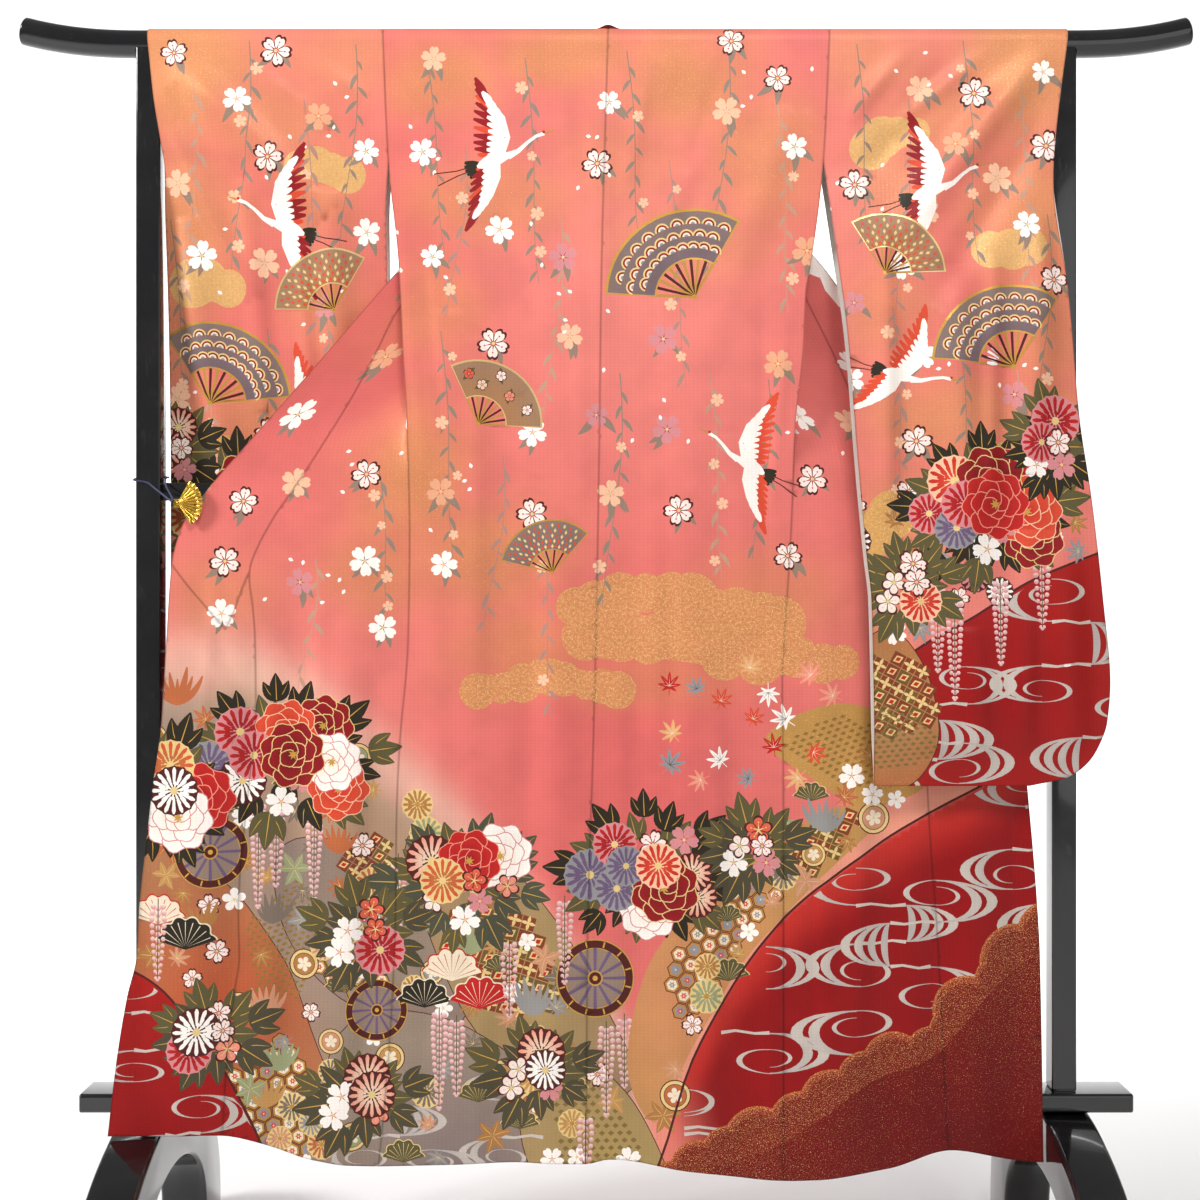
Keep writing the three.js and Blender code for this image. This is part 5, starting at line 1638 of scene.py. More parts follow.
def body_picture():
    pic = Picture()
    lower_left(pic)
    # a slope with honeycomb and tiles above the water
    patch(pic, [(60, 470), (130, 560), (230, 640), (330, 700), (400, 690), (300, 590), (200, 480),
                (120, 350), (70, 250), (30, 330)], "#C9855A", None, 0, 0.1, 0.3,
          ("#B98A50", (120, 420), 260))
    honeycomb(pic, np.array([(80, 470), (200, 600), (250, 580), (110, 380)]), 13, 0.3, "#B87F3F")
    tiles(pic, np.array([(250, 640), (340, 700), (390, 690), (290, 600)]), 13, 0.4)
    patch(pic, [(230, 800), (330, 850), (430, 820), (470, 740), (380, 700), (300, 740)],
          "#B98A4A", None, 0, 0.1, (0.2, 0.5))
    lozenges(pic, np.array([(250, 790), (330, 835), (420, 810), (440, 750), (380, 715),
                            (310, 750)]), 13, "#8E6A34", 0.3)
    # gold clouds
    for line, radius, seed in (
        ([(-40, 985), (60, 1010), (170, 985), (290, 955)], 36, 3),
        ([(-30, 940), (90, 935), (230, 915), (350, 905)], 30, 4),
        ([(-190, 868), (-90, 890), (20, 874)], 24, 5),
        ([(-10, 965), (110, 962), (200, 950)], 20, 6),
    ):
        cloud(pic, line, radius, "#CE7F55", 0.04, 0.9, seed)
    span = lambda u, v: 12 < v - water_top(u) < 30 + 0.45 * u and v - water_top(u) < 150
    sprinkle_things(pic, scatter(51, 44, (50, 250), (420, 800), 32, span), 18, MUTED)
    # water over the red, and the sprinkled shore below it
    edge = np.arange(40, 700, 12.0)
    line = np.stack([edge, water_top(edge)], -1)
    water(pic, 110, 74, (60, 150), (680, 780), water_top)
    shore = np.arange(50, 665, 8.0)
    edge = np.stack([shore, shore_top(shore)], -1)
    scalloped(pic, edge, 42, 6, (
        (1.0, "#A5451F", 0.8), (0.93, "#862014", 0.72), (0.78, "#74120D", 0.62),
    ))
    pic.add(np.concatenate([edge - (0, 12), [(720, 500), (720, 60), (50, 60)]]), "#64090A", 0,
            (0.2, 0.56), ("#700E0B", (520, 170), 330))
    pic.add(ribbon(line, 1.7), BARK)
    # twigs, fans and cranes of the upper part
    twigs(pic, 20, [
        (-262, 1800, 300, 34, 14), (-205, 1660, 250, -22, 12), (-118, 1790, 330, 26, 16),
        (-66, 1560, 300, -20, 14), (30, 1800, 280, 24, 13), (92, 1640, 330, 30, 16),
        (178, 1806, 340, -26, 16), (250, 1720, 300, 20, 14), (-240, 1390, 330, 24, 15),
        (-150, 1210, 260, -24, 12), (20, 1330, 340, -20, 16), (150, 1330, 300, 24, 14),
        (236, 1320, 260, -18, 12), (-96, 1130, 300, 22, 14), (-330, 1190, 220, 20, 10),
        (-420, 1060, 190, -20, 9), (-600, 1800, 320, 26, 15), (-500, 1700, 300, -24, 14),
        (-400, 1780, 330, 20, 15), (380, 1790, 320, -22, 15), (480, 1700, 330, 24, 15),
        (600, 1780, 300, -20, 14),
    ])
    keep = lambda u, v: math.dist((u, v), (120, 1500)) > 120 and math.dist(
        (u, v), (-190, 1290)) > 80
    strewn(pic, 30, 27, (-310, 1040), (310, 1815), 86, keep)
    strewn(pic, 34, 10, (-640, 1260), (-350, 1800), 84)
    strewn(pic, 35, 10, (350, 1260), (640, 1800), 84)
    strewn(pic, 36, 9, (-600, 960), (-320, 1200), 70)
    fan(pic, (128, 1440), 128, math.pi / 2 + 0.5, "#5F4C5E", GOLD, "waves")
    fan(pic, (-186, 1256), 92, math.pi / 2 - 0.6, "#A9713C", STRAW, "flowers")
    fan(pic, (-78, 1040), 76, math.pi / 2 + 0.3, "#6B5A5C", GOLD, "lattice")
    crane(pic, (-160, 1640), 92, 0.35, 1)
    crane(pic, (206, 1196), 84, math.pi - 0.5, -1, WHITE, VERMILION)
    crane(pic, (-455, 1540), 88, 0.2, 1, WHITE, CRIMSON)
    crane(pic, (470, 1480), 88, math.pi - 0.2, -1)
    # maple leaves over the middle
    random = np.random.default_rng(8)
    shades = (VERMILION, WHITE, SALMON, "#D9A06A", SMOKE, RED)
    for k, spot in enumerate(scatter(9, 17, (90, 730), (330, 905), 38)):
        maple(pic, spot, random.uniform(20, 27), random.uniform(0, 6), shades[k % 6],
              BARK if k % 6 in (1, 4) else CREAM)
    # the bunches of flowers
    bouquet(pic, (-470, 770), 128, 88, 11, 41, "pcbpc")
    bouquet(pic, (-630, 720), 60, 70, 6, 42, "cbp")
    bouquet(pic, (-205, 590), 96, 66, 9, 43, "mcbpm", "#4A4A3A")
    bouquet(pic, (60, 610), 108, 80, 11, 44, "ccpbc")
    bouquet(pic, (-345, 520), 60, 50, 5, 45, "mbc", "#4A4432")
    bouquet(pic, (-100, 320), 60, 44, 5, 46, "cmb", "#4A4432")
    bouquet(pic, (-350, 285), 66, 44, 5, 47, "cbm", "#4A4432")
    bouquet(pic, (-560, 380), 56, 44, 5, 48, "bcm", "#4A4432")
    bouquet(pic, (215, 640), 50, 40, 5, 49, "bm", "#4A4432")
    return pic


def sleeve_picture(side, near):
    """The left sleeve's picture is the right one's turned over, with other flowers."""
    pic = Picture()
    seed = 60 if side is LEFT else 80
    seed += 0 if near < 0 else 7
    way = -near * side.way
    drop = 44 if side is LEFT else 0
    at = lambda x, z: (way * x, z - drop * (z > 1250))
    turn = lambda angle: angle if way > 0 else math.pi - angle
    top = curve_through([(340, 838), (440, 930), (520, 975), (610, 1030), (740, 1080)])
    edge = np.arange(340, 745, 10.0)
    line = np.stack([edge, top(edge)], -1)
    pic.add(np.concatenate([line, [(745, 700), (340, 700)]]) * (way, 1), "#8E0B0E", 0, 0,
            ("#A31C16", (way * 560, 860), 260))
    water(pic, seed, 70, (min(way * 350, way * 700), 740), (max(way * 350, way * 700), 1060),
          lambda u: top(abs(u)))
    pic.add(ribbon(line, 1.7) * (way, 1), BARK)
    hill = patch(pic, [at(352, 740), at(348, 900), at(400, 960), at(452, 900), at(470, 800),
                       at(430, 735)], "#A98A55", BARK, 1.3, 0.1, (0.1, 0.4),
                 ("#B0673F", at(400, 850), 120))
    tiles(pic, hill * (1, 0.5) + (0, 445), 13, 0.3)
    lozenges(pic, hill * (1, 0.4) + (0, 470), 12, "#7E6636", 0.1)
    cloud(pic, [at(350, 1080), at(420, 1130), at(500, 1140), at(620, 1230), at(690, 1240)], 34,
          "#CE9858", 0.06, 0.8, seed)
    cloud(pic, [at(560, 1500), at(640, 1520)], 30, "#D2A066", 0.06, 0.7, seed + 1)
    cloud(pic, [at(380, 1660), at(470, 1690)], 26, "#D2A066", 0.06, 0.7, seed + 2)
    twigs(pic, seed, [
        (way * 365, 1810, 300, 20 * way, 14), (way * 440, 1730, 340, -22 * way, 16),
        (way * 520, 1815, 330, 24 * way, 15), (way * 600, 1760, 340, 20 * way, 16),
        (way * 640, 1560, 300, -20 * way, 14), (way * 410, 1420, 300, 18 * way, 14),
        (way * 500, 1400, 260, 22 * way, 12), (way * 590, 1330, 240, -16 * way, 11),
    ])
    keep = lambda u, v: math.dist((abs(u), v), (560, 1400)) > 105
    strewn(pic, seed + 3, 17, (min(way * 345, way * 655), 1200),
           (max(way * 345, way * 655), 1805), 78, keep)
    crane(pic, at(470, 1590), 92, turn(0.35), way)
    crane(pic, at(420, 1320), 82, turn(-0.25), way, WHITE, VERMILION)
    fan(pic, at(585, 1335), 118, turn(math.pi / 2 + 0.45), "#5F4C5E", GOLD, "waves")
    fan(pic, at(400, 1470), 88, turn(math.pi / 2 - 0.5), "#A9713C", STRAW, "lattice")
    random = np.random.default_rng(seed)
    region = lambda u, v: v > top(abs(u)) + 12
    for k, spot in enumerate(scatter(seed + 8, 26, (min(way * 350, way * 690), 860),
                                     (max(way * 350, way * 690), 1160), 36, region)):
        size, angle = random.uniform(0.85, 1.2), random.uniform(0, 6)
        if k % 3 == 0:
            maple(pic, spot, 21 * size, angle, ("#A9743F", SMOKE, "#B5643C")[k % 2], STRAW)
        elif k % 3 == 1:
            chrysanthemum(pic, spot, 21 * size, (ROSE, WHITE)[k % 2], BARK, OCHRE, 14)
        else:
            blossom(pic, spot, 18 * size, angle, WHITE, BARK if k % 2 else None)
    for x, z, length in ((470, 1010, 120), (494, 1000, 150), (560, 1020, 120), (620, 1060, 110)):
        wisteria(pic, at(x, z), length)
    bouquet(pic, at(540, 1130), 104, 84, 11, seed + 4, "pcbpc")
    bouquet(pic, at(430, 1020), 50, 46, 5, seed + 5, "bmc", OLIVE)
    bouquet(pic, at(640, 1220), 40, 54, 5, seed + 6, "bc")
    return pic


def ripple(u, v):
    """A gentle unevenness of a soft edge: three crossed waves."""
    return np.sin(u / 37 + v / 61) + 0.7 * np.sin(u / 21 - v / 29) + 0.5 * np.sin(v / 17 + u / 53)


def veil(u, v, spots):
    """Soft clouds: the strongest of several bells. Each is u, v, half width, half height and
    strength."""
    share = np.zeros(np.shape(u))
    wave = 9 * ripple(u, v)
    for u0, v0, wide, high, strength in spots:
        away = ((u + wave - u0) / wide) ** 2 + ((v + wave / 2 - v0) / high) ** 2
        share = np.maximum(share, strength * np.exp(-(away**1.4)))
    return share


BODY_VEILS = [
    (-240, 1760, 90, 60, 0.7), (-60, 1795, 120, 50, 0.75), (110, 1760, 110, 90, 0.8),
    (230, 1640, 90, 110, 0.65), (-180, 1580, 130, 60, 0.6), (20, 1640, 90, 70, 0.4),
    (-250, 1430, 70, 80, 0.5), (120, 1520, 130, 60, 0.5), (-280, 1180, 90, 130, 0.8),
    (-180, 1060, 120, 90, 0.7), (-120, 930, 110, 70, 0.6), (-330, 1040, 90, 70, 0.6),
    (-560, 1010, 80, 60, 0.5), (230, 1000, 120, 70, 0.5), (-500, 1700, 140, 90, 0.6),
    (480, 1650, 140, 90, 0.6), (-420, 1400, 90, 60, 0.25), (60, 880, 160, 40, 0.45),
]
SLEEVE_VEILS = [
    (620, 1780, 120, 120, 0.95), (500, 1700, 100, 70, 0.6), (380, 1790, 90, 60, 0.55),
    (620, 1560, 90, 110, 0.8), (420, 1600, 70, 90, 0.6), (640, 1400, 60, 120, 0.6),
    (400, 1420, 60, 80, 0.5), (480, 1260, 130, 60, 0.7), (640, 1260, 70, 70, 0.7),
    (430, 1120, 80, 70, 0.6), (380, 980, 60, 80, 0.6),
]


def dye(name):
    """A dye of the settings."""
    return np.array(getattr(bpy.context.scene.furisode_silk, name))


def blended(u, v, gold):
    """Pink ground, warmer and paler in wide soft areas, under a share of gold."""
    wide = 0.5 + 0.5 * np.sin(u / 170 + 1.3) * np.cos(v / 230)
    colour = lerp(dye("pink"), dye("pale_pink"), wide[..., None])
    return lerp(colour, dye("gold"), (0.8 * gold)[..., None])


def body_ground(u, v):
    gold = veil(u, v, BODY_VEILS)
    colour = blended(u, v, gold)
    wave = 8 * ripple(u, v)
    hill = smooth(-30, 60, hill_top(u) + wave - v) * smooth(100, 40, u)
    mix = 0.5 + 0.5 * np.sin(u / 60 + v / 90)
    taupe = lerp(dye("taupe"), linear("#A5866A"), mix[:, None])
    mist = np.exp(-(((hill_top(u) - v + 5) / 50) ** 2)) * smooth(140, 60, u)
    colour = lerp(colour, taupe, (0.95 * hill)[:, None])
    colour = lerp(colour, linear("#E0BFA8"), (0.55 * mist)[:, None])
    under = water_top(u) - v
    red = smooth(-2, 4, under) * smooth(40, 90, u)
    glow = np.exp(-((under / 70) ** 2)) * smooth(20, 80, u)
    colour = lerp(colour, linear("#E0A080"), (0.6 * glow * (1 - red))[:, None])
    deep = lerp(linear("#BA2C24"), dye("red"), smooth(0, 90, under)[:, None])
    colour = lerp(colour, deep, red[:, None])
    low_glow = smooth(330, 200, v) * smooth(170, 90, u) * smooth(30, 70, u)
    colour = lerp(colour, linear("#DE8070"), (0.8 * low_glow)[:, None])
    fleck = 0.6 * gold * (1 - red) * (1 - hill) + 0.12 * hill
    return colour, 0.08 * gold * (1 - red) * (1 - hill), fleck


def sleeve_ground(u, v):
    gold = veil(np.abs(u), v, SLEEVE_VEILS)
    colour = lerp(blended(u, v, gold), linear("#E8A080"), 0.12)
    return colour, 0.08 * gold, 0.6 * gold


def lining(u, v):
    """White silk above, and a strip of pink along the hem."""
    return lerp(dye("hem_lining"), dye("lining"), smooth(620, 660, v)[:, None])


# ---------------------------------------------------------------- stand, clip and cord
def mesh_piece(name, points, faces):
    """An object at the origin from points in millimetres."""
    mesh = bpy.data.meshes.new(name)
    mesh.from_pydata(np.asarray(points) * MM, [], faces)
    mesh.shade_smooth()
    piece = bpy.data.objects.new(name, mesh)
    bpy.context.scene.collection.objects.link(piece)
    return piece


def grid_faces(rows, columns, round_columns=False):
    """Four-sided faces between neighbouring points of a grid, row by row."""
    row = np.arange(rows - 1)[:, None] * columns
    column = np.arange(columns if round_columns else columns - 1)[None]
    after = (column + 1) % columns
    return np.stack(
        [row + column, row + after, row + columns + after, row + columns + column], -1
    ).reshape(-1, 4)


def along_x(outline, middle, half, round_off):
    """A solid pulled out along x from an outline in y and z, with its rims rounded off by a
    quarter circle: each ring of points is the outline moved inwards and along x."""
    after = unit(to_left(np.roll(outline, -1, axis=0) - outline))
    before = np.roll(after, 1, axis=0)
    inward = (after + before) / (1 + np.sum(after * before, axis=1, keepdims=True))
    angle = np.linspace(0, math.pi / 2, 6)
    rings = [(-half + round_off * (1 - math.sin(a)), round_off * (1 - math.cos(a)))
             for a in angle[::-1]]
    rings += [(-x, d) for x, d in reversed(rings)]
    points = np.concatenate([
        np.column_stack([np.full(len(outline), middle + x), outline + inward * d])
        for x, d in rings
    ])
    count = len(outline)
    faces = grid_faces(len(rings), count, True).tolist()
    faces.append(list(range(count))[::-1])
    faces.append(list(range((len(rings) - 1) * count, len(rings) * count)))
    return points, faces


def rounded_box(half_y, low, high, corner, steps=6):
    """The outline of a rail's section: a rectangle in y and z with round corners."""
    angle = np.linspace(0, math.pi / 2, steps)
    parts = []
    for k, (y, z) in enumerate(((1, 1), (-1, 1), (-1, -1), (1, -1))):
        turn = angle + k * math.pi / 2
        parts.append(np.stack([
            y * (half_y - corner) + corner * np.cos(turn),
            (high + low) / 2 + z * ((high - low) / 2 - corner) + corner * np.sin(turn),
        ], -1))
    return np.concatenate(parts)


FOOT_TOP = curve_through(
    [(0, 255), (43, 249), (112, 230), (156, 213), (200, 190), (240, 160), (268, 126), (284, 84),
     (290, 40)]
)


def foot_outline():
    """A bridge in y and z: a bowed top that falls to the toes, flat pads and a round arch."""
    y = np.concatenate([np.linspace(0, 262, 34), np.linspace(268, 290, 16)])
    top = np.stack([y, FOOT_TOP(y)], -1)
    angle = np.linspace(0, math.pi, 34)
    arch = np.stack([188.2 * np.cos(angle), 18 + 150 * np.sin(angle) ** 0.8], -1)
    pads = np.array([(290, 22), (290, 0), (196, 0)])
    half = np.concatenate([top[::-1] * (-1, 1), top[1:], pads])
    return counter_clockwise(
        np.concatenate([half, arch, pads[::-1] * (-1, 1)])
    )


def post_outline():
    """A post's side: straight, with its top hollowed to cradle the bar."""
    half, cradle, low = POST_SIZE / 2, BAR_RADIUS + REST, LOWER_RAIL[2] + REST
    lip = math.acos(half / cradle)
    angle = np.linspace(-lip, -math.pi + lip, 18)
    hollow = np.stack([cradle * np.cos(angle), BAR_HEIGHT + cradle * np.sin(angle)], -1)
    side = np.linspace(low, BAR_HEIGHT - cradle * math.sin(lip) - 2, 12)
    right = np.stack([np.full(12, half), side], -1)
    left = np.stack([np.full(12, -half), side[::-1]], -1)
    bottom = np.stack([np.linspace(-half, half, 6)[1:-1], np.full(4, low)], -1)
    return counter_clockwise(np.concatenate([right, hollow, left, bottom]))


def top_bar():
    """A round bar whose ends curve up and close in a shallow dome."""
    reach = BAR_HALF - BAR_STRAIGHT_HALF
    end = np.linspace(0, 1, 24)
    x = np.concatenate([BAR_STRAIGHT_HALF + reach * end, np.full(6, BAR_HALF)])
    dome = np.concatenate([np.zeros(24), np.linspace(0, 1, 7)[1:]])
    x = np.concatenate([-x[::-1], x])
    dome = np.concatenate([dome[::-1], dome])
    lift = BAR_LIFT * (np.maximum(0, np.abs(x) - BAR_STRAIGHT_HALF) / reach) ** 2.4
    slope = np.sign(x) * 2.4 * BAR_LIFT / reach * (
        np.maximum(0, np.abs(x) - BAR_STRAIGHT_HALF) / reach
    ) ** 1.4
    turn = np.arctan(slope)
    radius = BAR_RADIUS * np.cos(dome * math.pi / 2) ** 0.6
    out = np.sign(x) * 4.5 * np.sin(dome * math.pi / 2)
    angle = np.linspace(0, 2 * math.pi, 40, endpoint=False)
    up = radius[:, None] * np.cos(angle)
    away = radius[:, None] * np.sin(angle)
    points = np.stack([
        (x + out * np.cos(turn))[:, None] - up * np.sin(turn)[:, None],
        away,
        (BAR_HEIGHT + lift + out * np.sin(turn))[:, None] + up * np.cos(turn)[:, None],
    ], -1)
    faces = grid_faces(len(x), 40, True).tolist()
    return points.reshape(-1, 3), [face[::-1] for face in faces]


CLIP_PIVOT = np.array((-616.0, -56.0, 1139.0))


def fan_plate():
    """A pleated gilt fan: distance and angle round its pivot make a grid; its front rises in
    eleven ribs, with a raised border, and its back is flat."""
    ribs = 11
    around = np.radians(np.linspace(-58, 62, ribs * 12 + 1))
    out = np.array([3, 6, 12, 20, 28, 29.2, 30.4, 31.6, 34, 36.4, 37.2])
    away, reach = np.meshgrid(around, out)
    pleat = np.abs(np.sin((away - around[0]) / (around[-1] - around[0]) * ribs * math.pi))
    reach = reach - 1.4 * (1 - pleat) * smooth(24, 37, reach)
    ridge = 0.4 + 1.5 * pleat * smooth(4, 16, reach)
    ridge += 0.7 * np.exp(-(((reach - 30.2) / 0.9) ** 2))
    front = np.stack([reach * np.cos(away), -0.9 - ridge, reach * np.sin(away)], -1)
    back = front.copy()
    back[..., 1] = 0.1 - 0.4 * pleat
    rows, columns = away.shape
    points = np.concatenate([front.reshape(-1, 3), back.reshape(-1, 3)]) + CLIP_PIVOT
    face = grid_faces(rows, columns)
    count = rows * columns
    grid = np.arange(count).reshape(rows, columns)
    ring = np.concatenate([grid[0], grid[1:, -1], grid[-1, -2::-1], grid[-2:0:-1, 0]])
    after = np.roll(ring, -1)
    side = np.stack([ring, ring + count, after + count, after], -1)
    return points, np.concatenate([face, face[:, ::-1] + count, side]).tolist()


def jaw():
    """The bent strip behind the cloth: from the pivot backwards, then along the cloth."""
    gap, knuckle, reach, thick, half = 15.0, 5.0, 30.0, 2.0, 6.0
    outline = np.array([
        (-knuckle, 0.3), (knuckle, 0.3), (knuckle, gap - thick), (reach, gap - thick),
        (reach, gap), (-knuckle, gap),
    ])
    inward = np.array([(1, 1), (-1, 1), (-1, 1), (-1, 1), (-1, -1), (1, -1)])
    rings = []
    for z, inset in ((-half, 0.5), (-half + 0.5, 0), (half - 0.5, 0), (half, 0.5)):
        at = outline + inward * inset * (1, 0.6)
        rings.append(np.stack([at[:, 0], at[:, 1], np.full(6, z)], -1))
    faces = grid_faces(4, 6, True).tolist()
    faces += [list(range(6))[::-1], list(range(18, 24))]
    return np.concatenate(rings) + CLIP_PIVOT, faces


def rivet(at, radius, high):
    """A domed head that faces the viewer."""
    ring = np.linspace(0, math.pi / 2, 7)[:-1]
    around = np.linspace(0, 2 * math.pi, 24, endpoint=False)
    reach = radius * np.cos(ring)[:, None]
    points = np.stack([
        reach * np.cos(around), -high * np.sin(ring)[:, None] + 0 * around, reach * np.sin(around)
    ], -1).reshape(-1, 3)
    points = np.concatenate([points, [(0, -high, 0)]]) + at
    faces = grid_faces(6, 24, True).tolist()
    last = 5 * 24
    faces += [[last + k, last + (k + 1) % 24, 6 * 24] for k in range(24)]
    faces.append(list(range(24))[::-1])
    return points, faces


def cord_route():
    """The cord's middle line: from the clip's pivot round the left post and back, a smooth
    centripetal spline through eleven points."""
    out = POST_SIZE / 2 + 1.7
    x, y, z = CLIP_PIVOT
    points = np.array([
        (x - 6.6, y - 1.5, z + 1), (-POST_X + out * 0.6, -out - 6, z + 24),
        (-POST_X, -out - 0.6, z + 32), (-POST_X - out, -out, z + 36),
        (-POST_X - out - 0.4, 0, z + 40), (-POST_X - out, out, z + 43),
        (-POST_X, out + 0.6, z + 44), (-POST_X + out, out, z + 43),
        (-POST_X + out + 2, 0, z + 40), (-POST_X + out + 7, -22, z + 30),
        (x - 6.6, y + 4.5, z + 4),
    ])
    ends = np.concatenate([[2 * points[0] - points[1]], points, [2 * points[-1] - points[-2]]])
    line = []
    for k in range(len(points) - 1):
        p = ends[k : k + 4]
        knot = np.concatenate([[0], np.cumsum(np.linalg.norm(np.diff(p, axis=0), axis=1) ** 0.5)])
        t = np.linspace(knot[1], knot[2], 13)[:-1, None]
        a = [lerp(p[i], p[i + 1], (t - knot[i]) / (knot[i + 1] - knot[i])) for i in range(3)]
        b = [lerp(a[i], a[i + 1], (t - knot[i]) / (knot[i + 2] - knot[i])) for i in range(2)]
        line.append(lerp(b[0], b[1], (t - knot[1]) / (knot[2] - knot[1])))
    return np.concatenate([*line, points[-1:]])


def twisted_tube(line, radius, pitch, strands=2):
    """A cord: rings round a line, each turned on a little, with a bulge for each strand."""
    run = unit(np.gradient(line, axis=0))
    side = unit(np.cross(run, (0.0, 0.0, 1.0)))
    up = np.cross(side, run)
    length = run_length(line)
    angle = np.linspace(0, 2 * math.pi, 14, endpoint=False)
    twist = 2 * math.pi * length[:, None] / pitch
    bulge = radius * (0.74 + 0.26 * np.abs(np.cos(strands / 2 * (angle - twist))))
    points = (
        line[:, None]
        + (bulge * np.cos(angle))[..., None] * side[:, None]
        + (bulge * np.sin(angle))[..., None] * up[:, None]
    )
    faces = grid_faces(len(line), 14, True).tolist()
    faces.append(list(range(14))[::-1])
    faces.append(list(range((len(line) - 1) * 14, len(line) * 14)))
    return points.reshape(-1, 3), faces, float(length[-1])


# ---------------------------------------------------------------- settings
class FURISODE_PG_silk(bpy.types.PropertyGroup):
    """Sizes and dyes of the robe's silk"""

    wall: bpy.props.FloatProperty(
        name="Cloth Thickness", description="Thickness of the lined silk", default=0.0016,
        min=0.0008, max=0.003, precision=4, unit="LENGTH",
    )
    roll: bpy.props.FloatProperty(
        name="Seam Roll", description="How deep the cloth rolls in at its seams",
        default=0.00075, min=0.0, max=0.0012, precision=5, unit="LENGTH",
    )
    creases: bpy.props.FloatProperty(
        name="Creases", description="Share of the slender creases' depth", default=1.0, min=0.0,
        max=1.4, subtype="FACTOR",
    )
    lattice: bpy.props.FloatProperty(
        name="Lattice", description="Distance between the points that fill a panel",
        default=0.008, min=0.006, max=0.016, precision=4, unit="LENGTH",
    )
    pink: bpy.props.FloatVectorProperty(
        name="Pink", description="The plain ground", default=tuple(linear("#D2625E")),
        min=0.0, max=1.0, subtype="COLOR",
    )
    pale_pink: bpy.props.FloatVectorProperty(
        name="Pale Pink", description="The ground's lighter areas",
        default=tuple(linear("#DD7A70")), min=0.0, max=1.0, subtype="COLOR",
    )
    gold: bpy.props.FloatVectorProperty(
        name="Gold", description="Soft clouds of gold on the ground",
        default=tuple(linear("#C98A4E")), min=0.0, max=1.0, subtype="COLOR",
    )
    red: bpy.props.FloatVectorProperty(
        name="Red", description="The ground under the water", default=tuple(linear("#8C0A0D")),
        min=0.0, max=1.0, subtype="COLOR",
    )
    taupe: bpy.props.FloatVectorProperty(
        name="Taupe", description="The slopes of the lower left",
        default=tuple(linear("#94806F")), min=0.0, max=1.0, subtype="COLOR",
    )
    lining: bpy.props.FloatVectorProperty(
        name="Lining", description="The white silk inside", default=tuple(linear("#EFE7DF")),
        min=0.0, max=1.0, subtype="COLOR",
    )
    hem_lining: bpy.props.FloatVectorProperty(
        name="Hem Lining", description="The dyed strip inside the hem",
        default=tuple(linear("#D9807A")), min=0.0, max=1.0, subtype="COLOR",
    )


class FURISODE_PG_stand(bpy.types.PropertyGroup):
    """Sizes and colours of the stand, its clip and its cord"""

    rounding: bpy.props.FloatProperty(
        name="Edge Rounding", description="Radius of the posts' edges", default=0.003,
        min=0.0005, max=0.008, precision=4, unit="LENGTH",
    )
    foot_rounding: bpy.props.FloatProperty(
        name="Foot Rounding", description="Radius of the feet's edges", default=0.007,
        min=0.001, max=0.012, precision=4, unit="LENGTH",
    )
    cord_radius: bpy.props.FloatProperty(
        name="Cord Radius", description="Half the cord's thickness", default=0.0013,
        min=0.0008, max=0.002, precision=4, unit="LENGTH",
    )
    twist: bpy.props.FloatProperty(
        name="Cord Twist", description="Length of one turn of the cord's strands",
        default=0.005, min=0.003, max=0.012, precision=4, unit="LENGTH",
    )
    lacquer: bpy.props.FloatVectorProperty(
        name="Lacquer", description="The stand's black", default=tuple(linear("#0B0A0D")),
        min=0.0, max=1.0, subtype="COLOR",
    )
    gilt: bpy.props.FloatVectorProperty(
        name="Gilt", description="The clip's metal", default=tuple(linear("#D8AE4A")),
        min=0.0, max=1.0, subtype="COLOR",
    )
    cord: bpy.props.FloatVectorProperty(
        name="Cord", description="The cord's dye", default=tuple(linear("#14173C")),
        min=0.0, max=1.0, subtype="COLOR",
    )


class FURISODE_PG_stage(bpy.types.PropertyGroup):
    """Light of the stage"""

    key: bpy.props.FloatProperty(
        name="Key Light", description="Raking light from the left", default=150.0, min=0.0,
        unit="POWER",
    )
    sheen: bpy.props.FloatProperty(
        name="Sheen Light", description="Small high light that makes the silk shine", default=62.0,
        min=0.0, unit="POWER",
    )
    fill: bpy.props.FloatProperty(
        name="Fill Light", description="Soft light from the right", default=18.0, min=0.0,
        unit="POWER",
    )
    back: bpy.props.FloatProperty(
        name="Backdrop Light", description="Light on the backdrop", default=270.0, min=0.0,
        unit="POWER",
    )
    world: bpy.props.FloatProperty(
        name="Surroundings", description="Strength of the even light from all sides",
        default=0.26, min=0.0, max=2.0, subtype="FACTOR",
    )
    floor: bpy.props.FloatVectorProperty(
        name="Floor", description="Floor and backdrop", default=(0.93, 0.93, 0.93), min=0.0,
        max=1.0, subtype="COLOR",
    )


# ---------------------------------------------------------------- operators
@functools.lru_cache(maxsize=None)
def front_surface(name):
    return FrontSurface(LEFT if name == "left" else RIGHT)


@functools.lru_cache(maxsize=None)
def drawn_body():
    return body_picture()


def robe_piece(name, surface, outline, picture, ground):
    """One piece of the robe: its mesh, its silk, the solid it stands for and its cut."""
    piece = cloth_piece("silk_" + name, surface, outline, picture, ground)
    finish_piece(piece, "silk", "dyed_silk", "lining_silk")
    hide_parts(name)


class FURISODE_OT_backs(bpy.types.Operator):
    """Builds both halves of the back"""

    bl_idname = "furisode.backs"
    bl_label = "Backs"

    def execute(self, context):
        for side in (LEFT, RIGHT):
            robe_piece(f"back_{side.name}", back_surface, back_outline(side), drawn_body(),
                       body_ground)
        return {"FINISHED"}


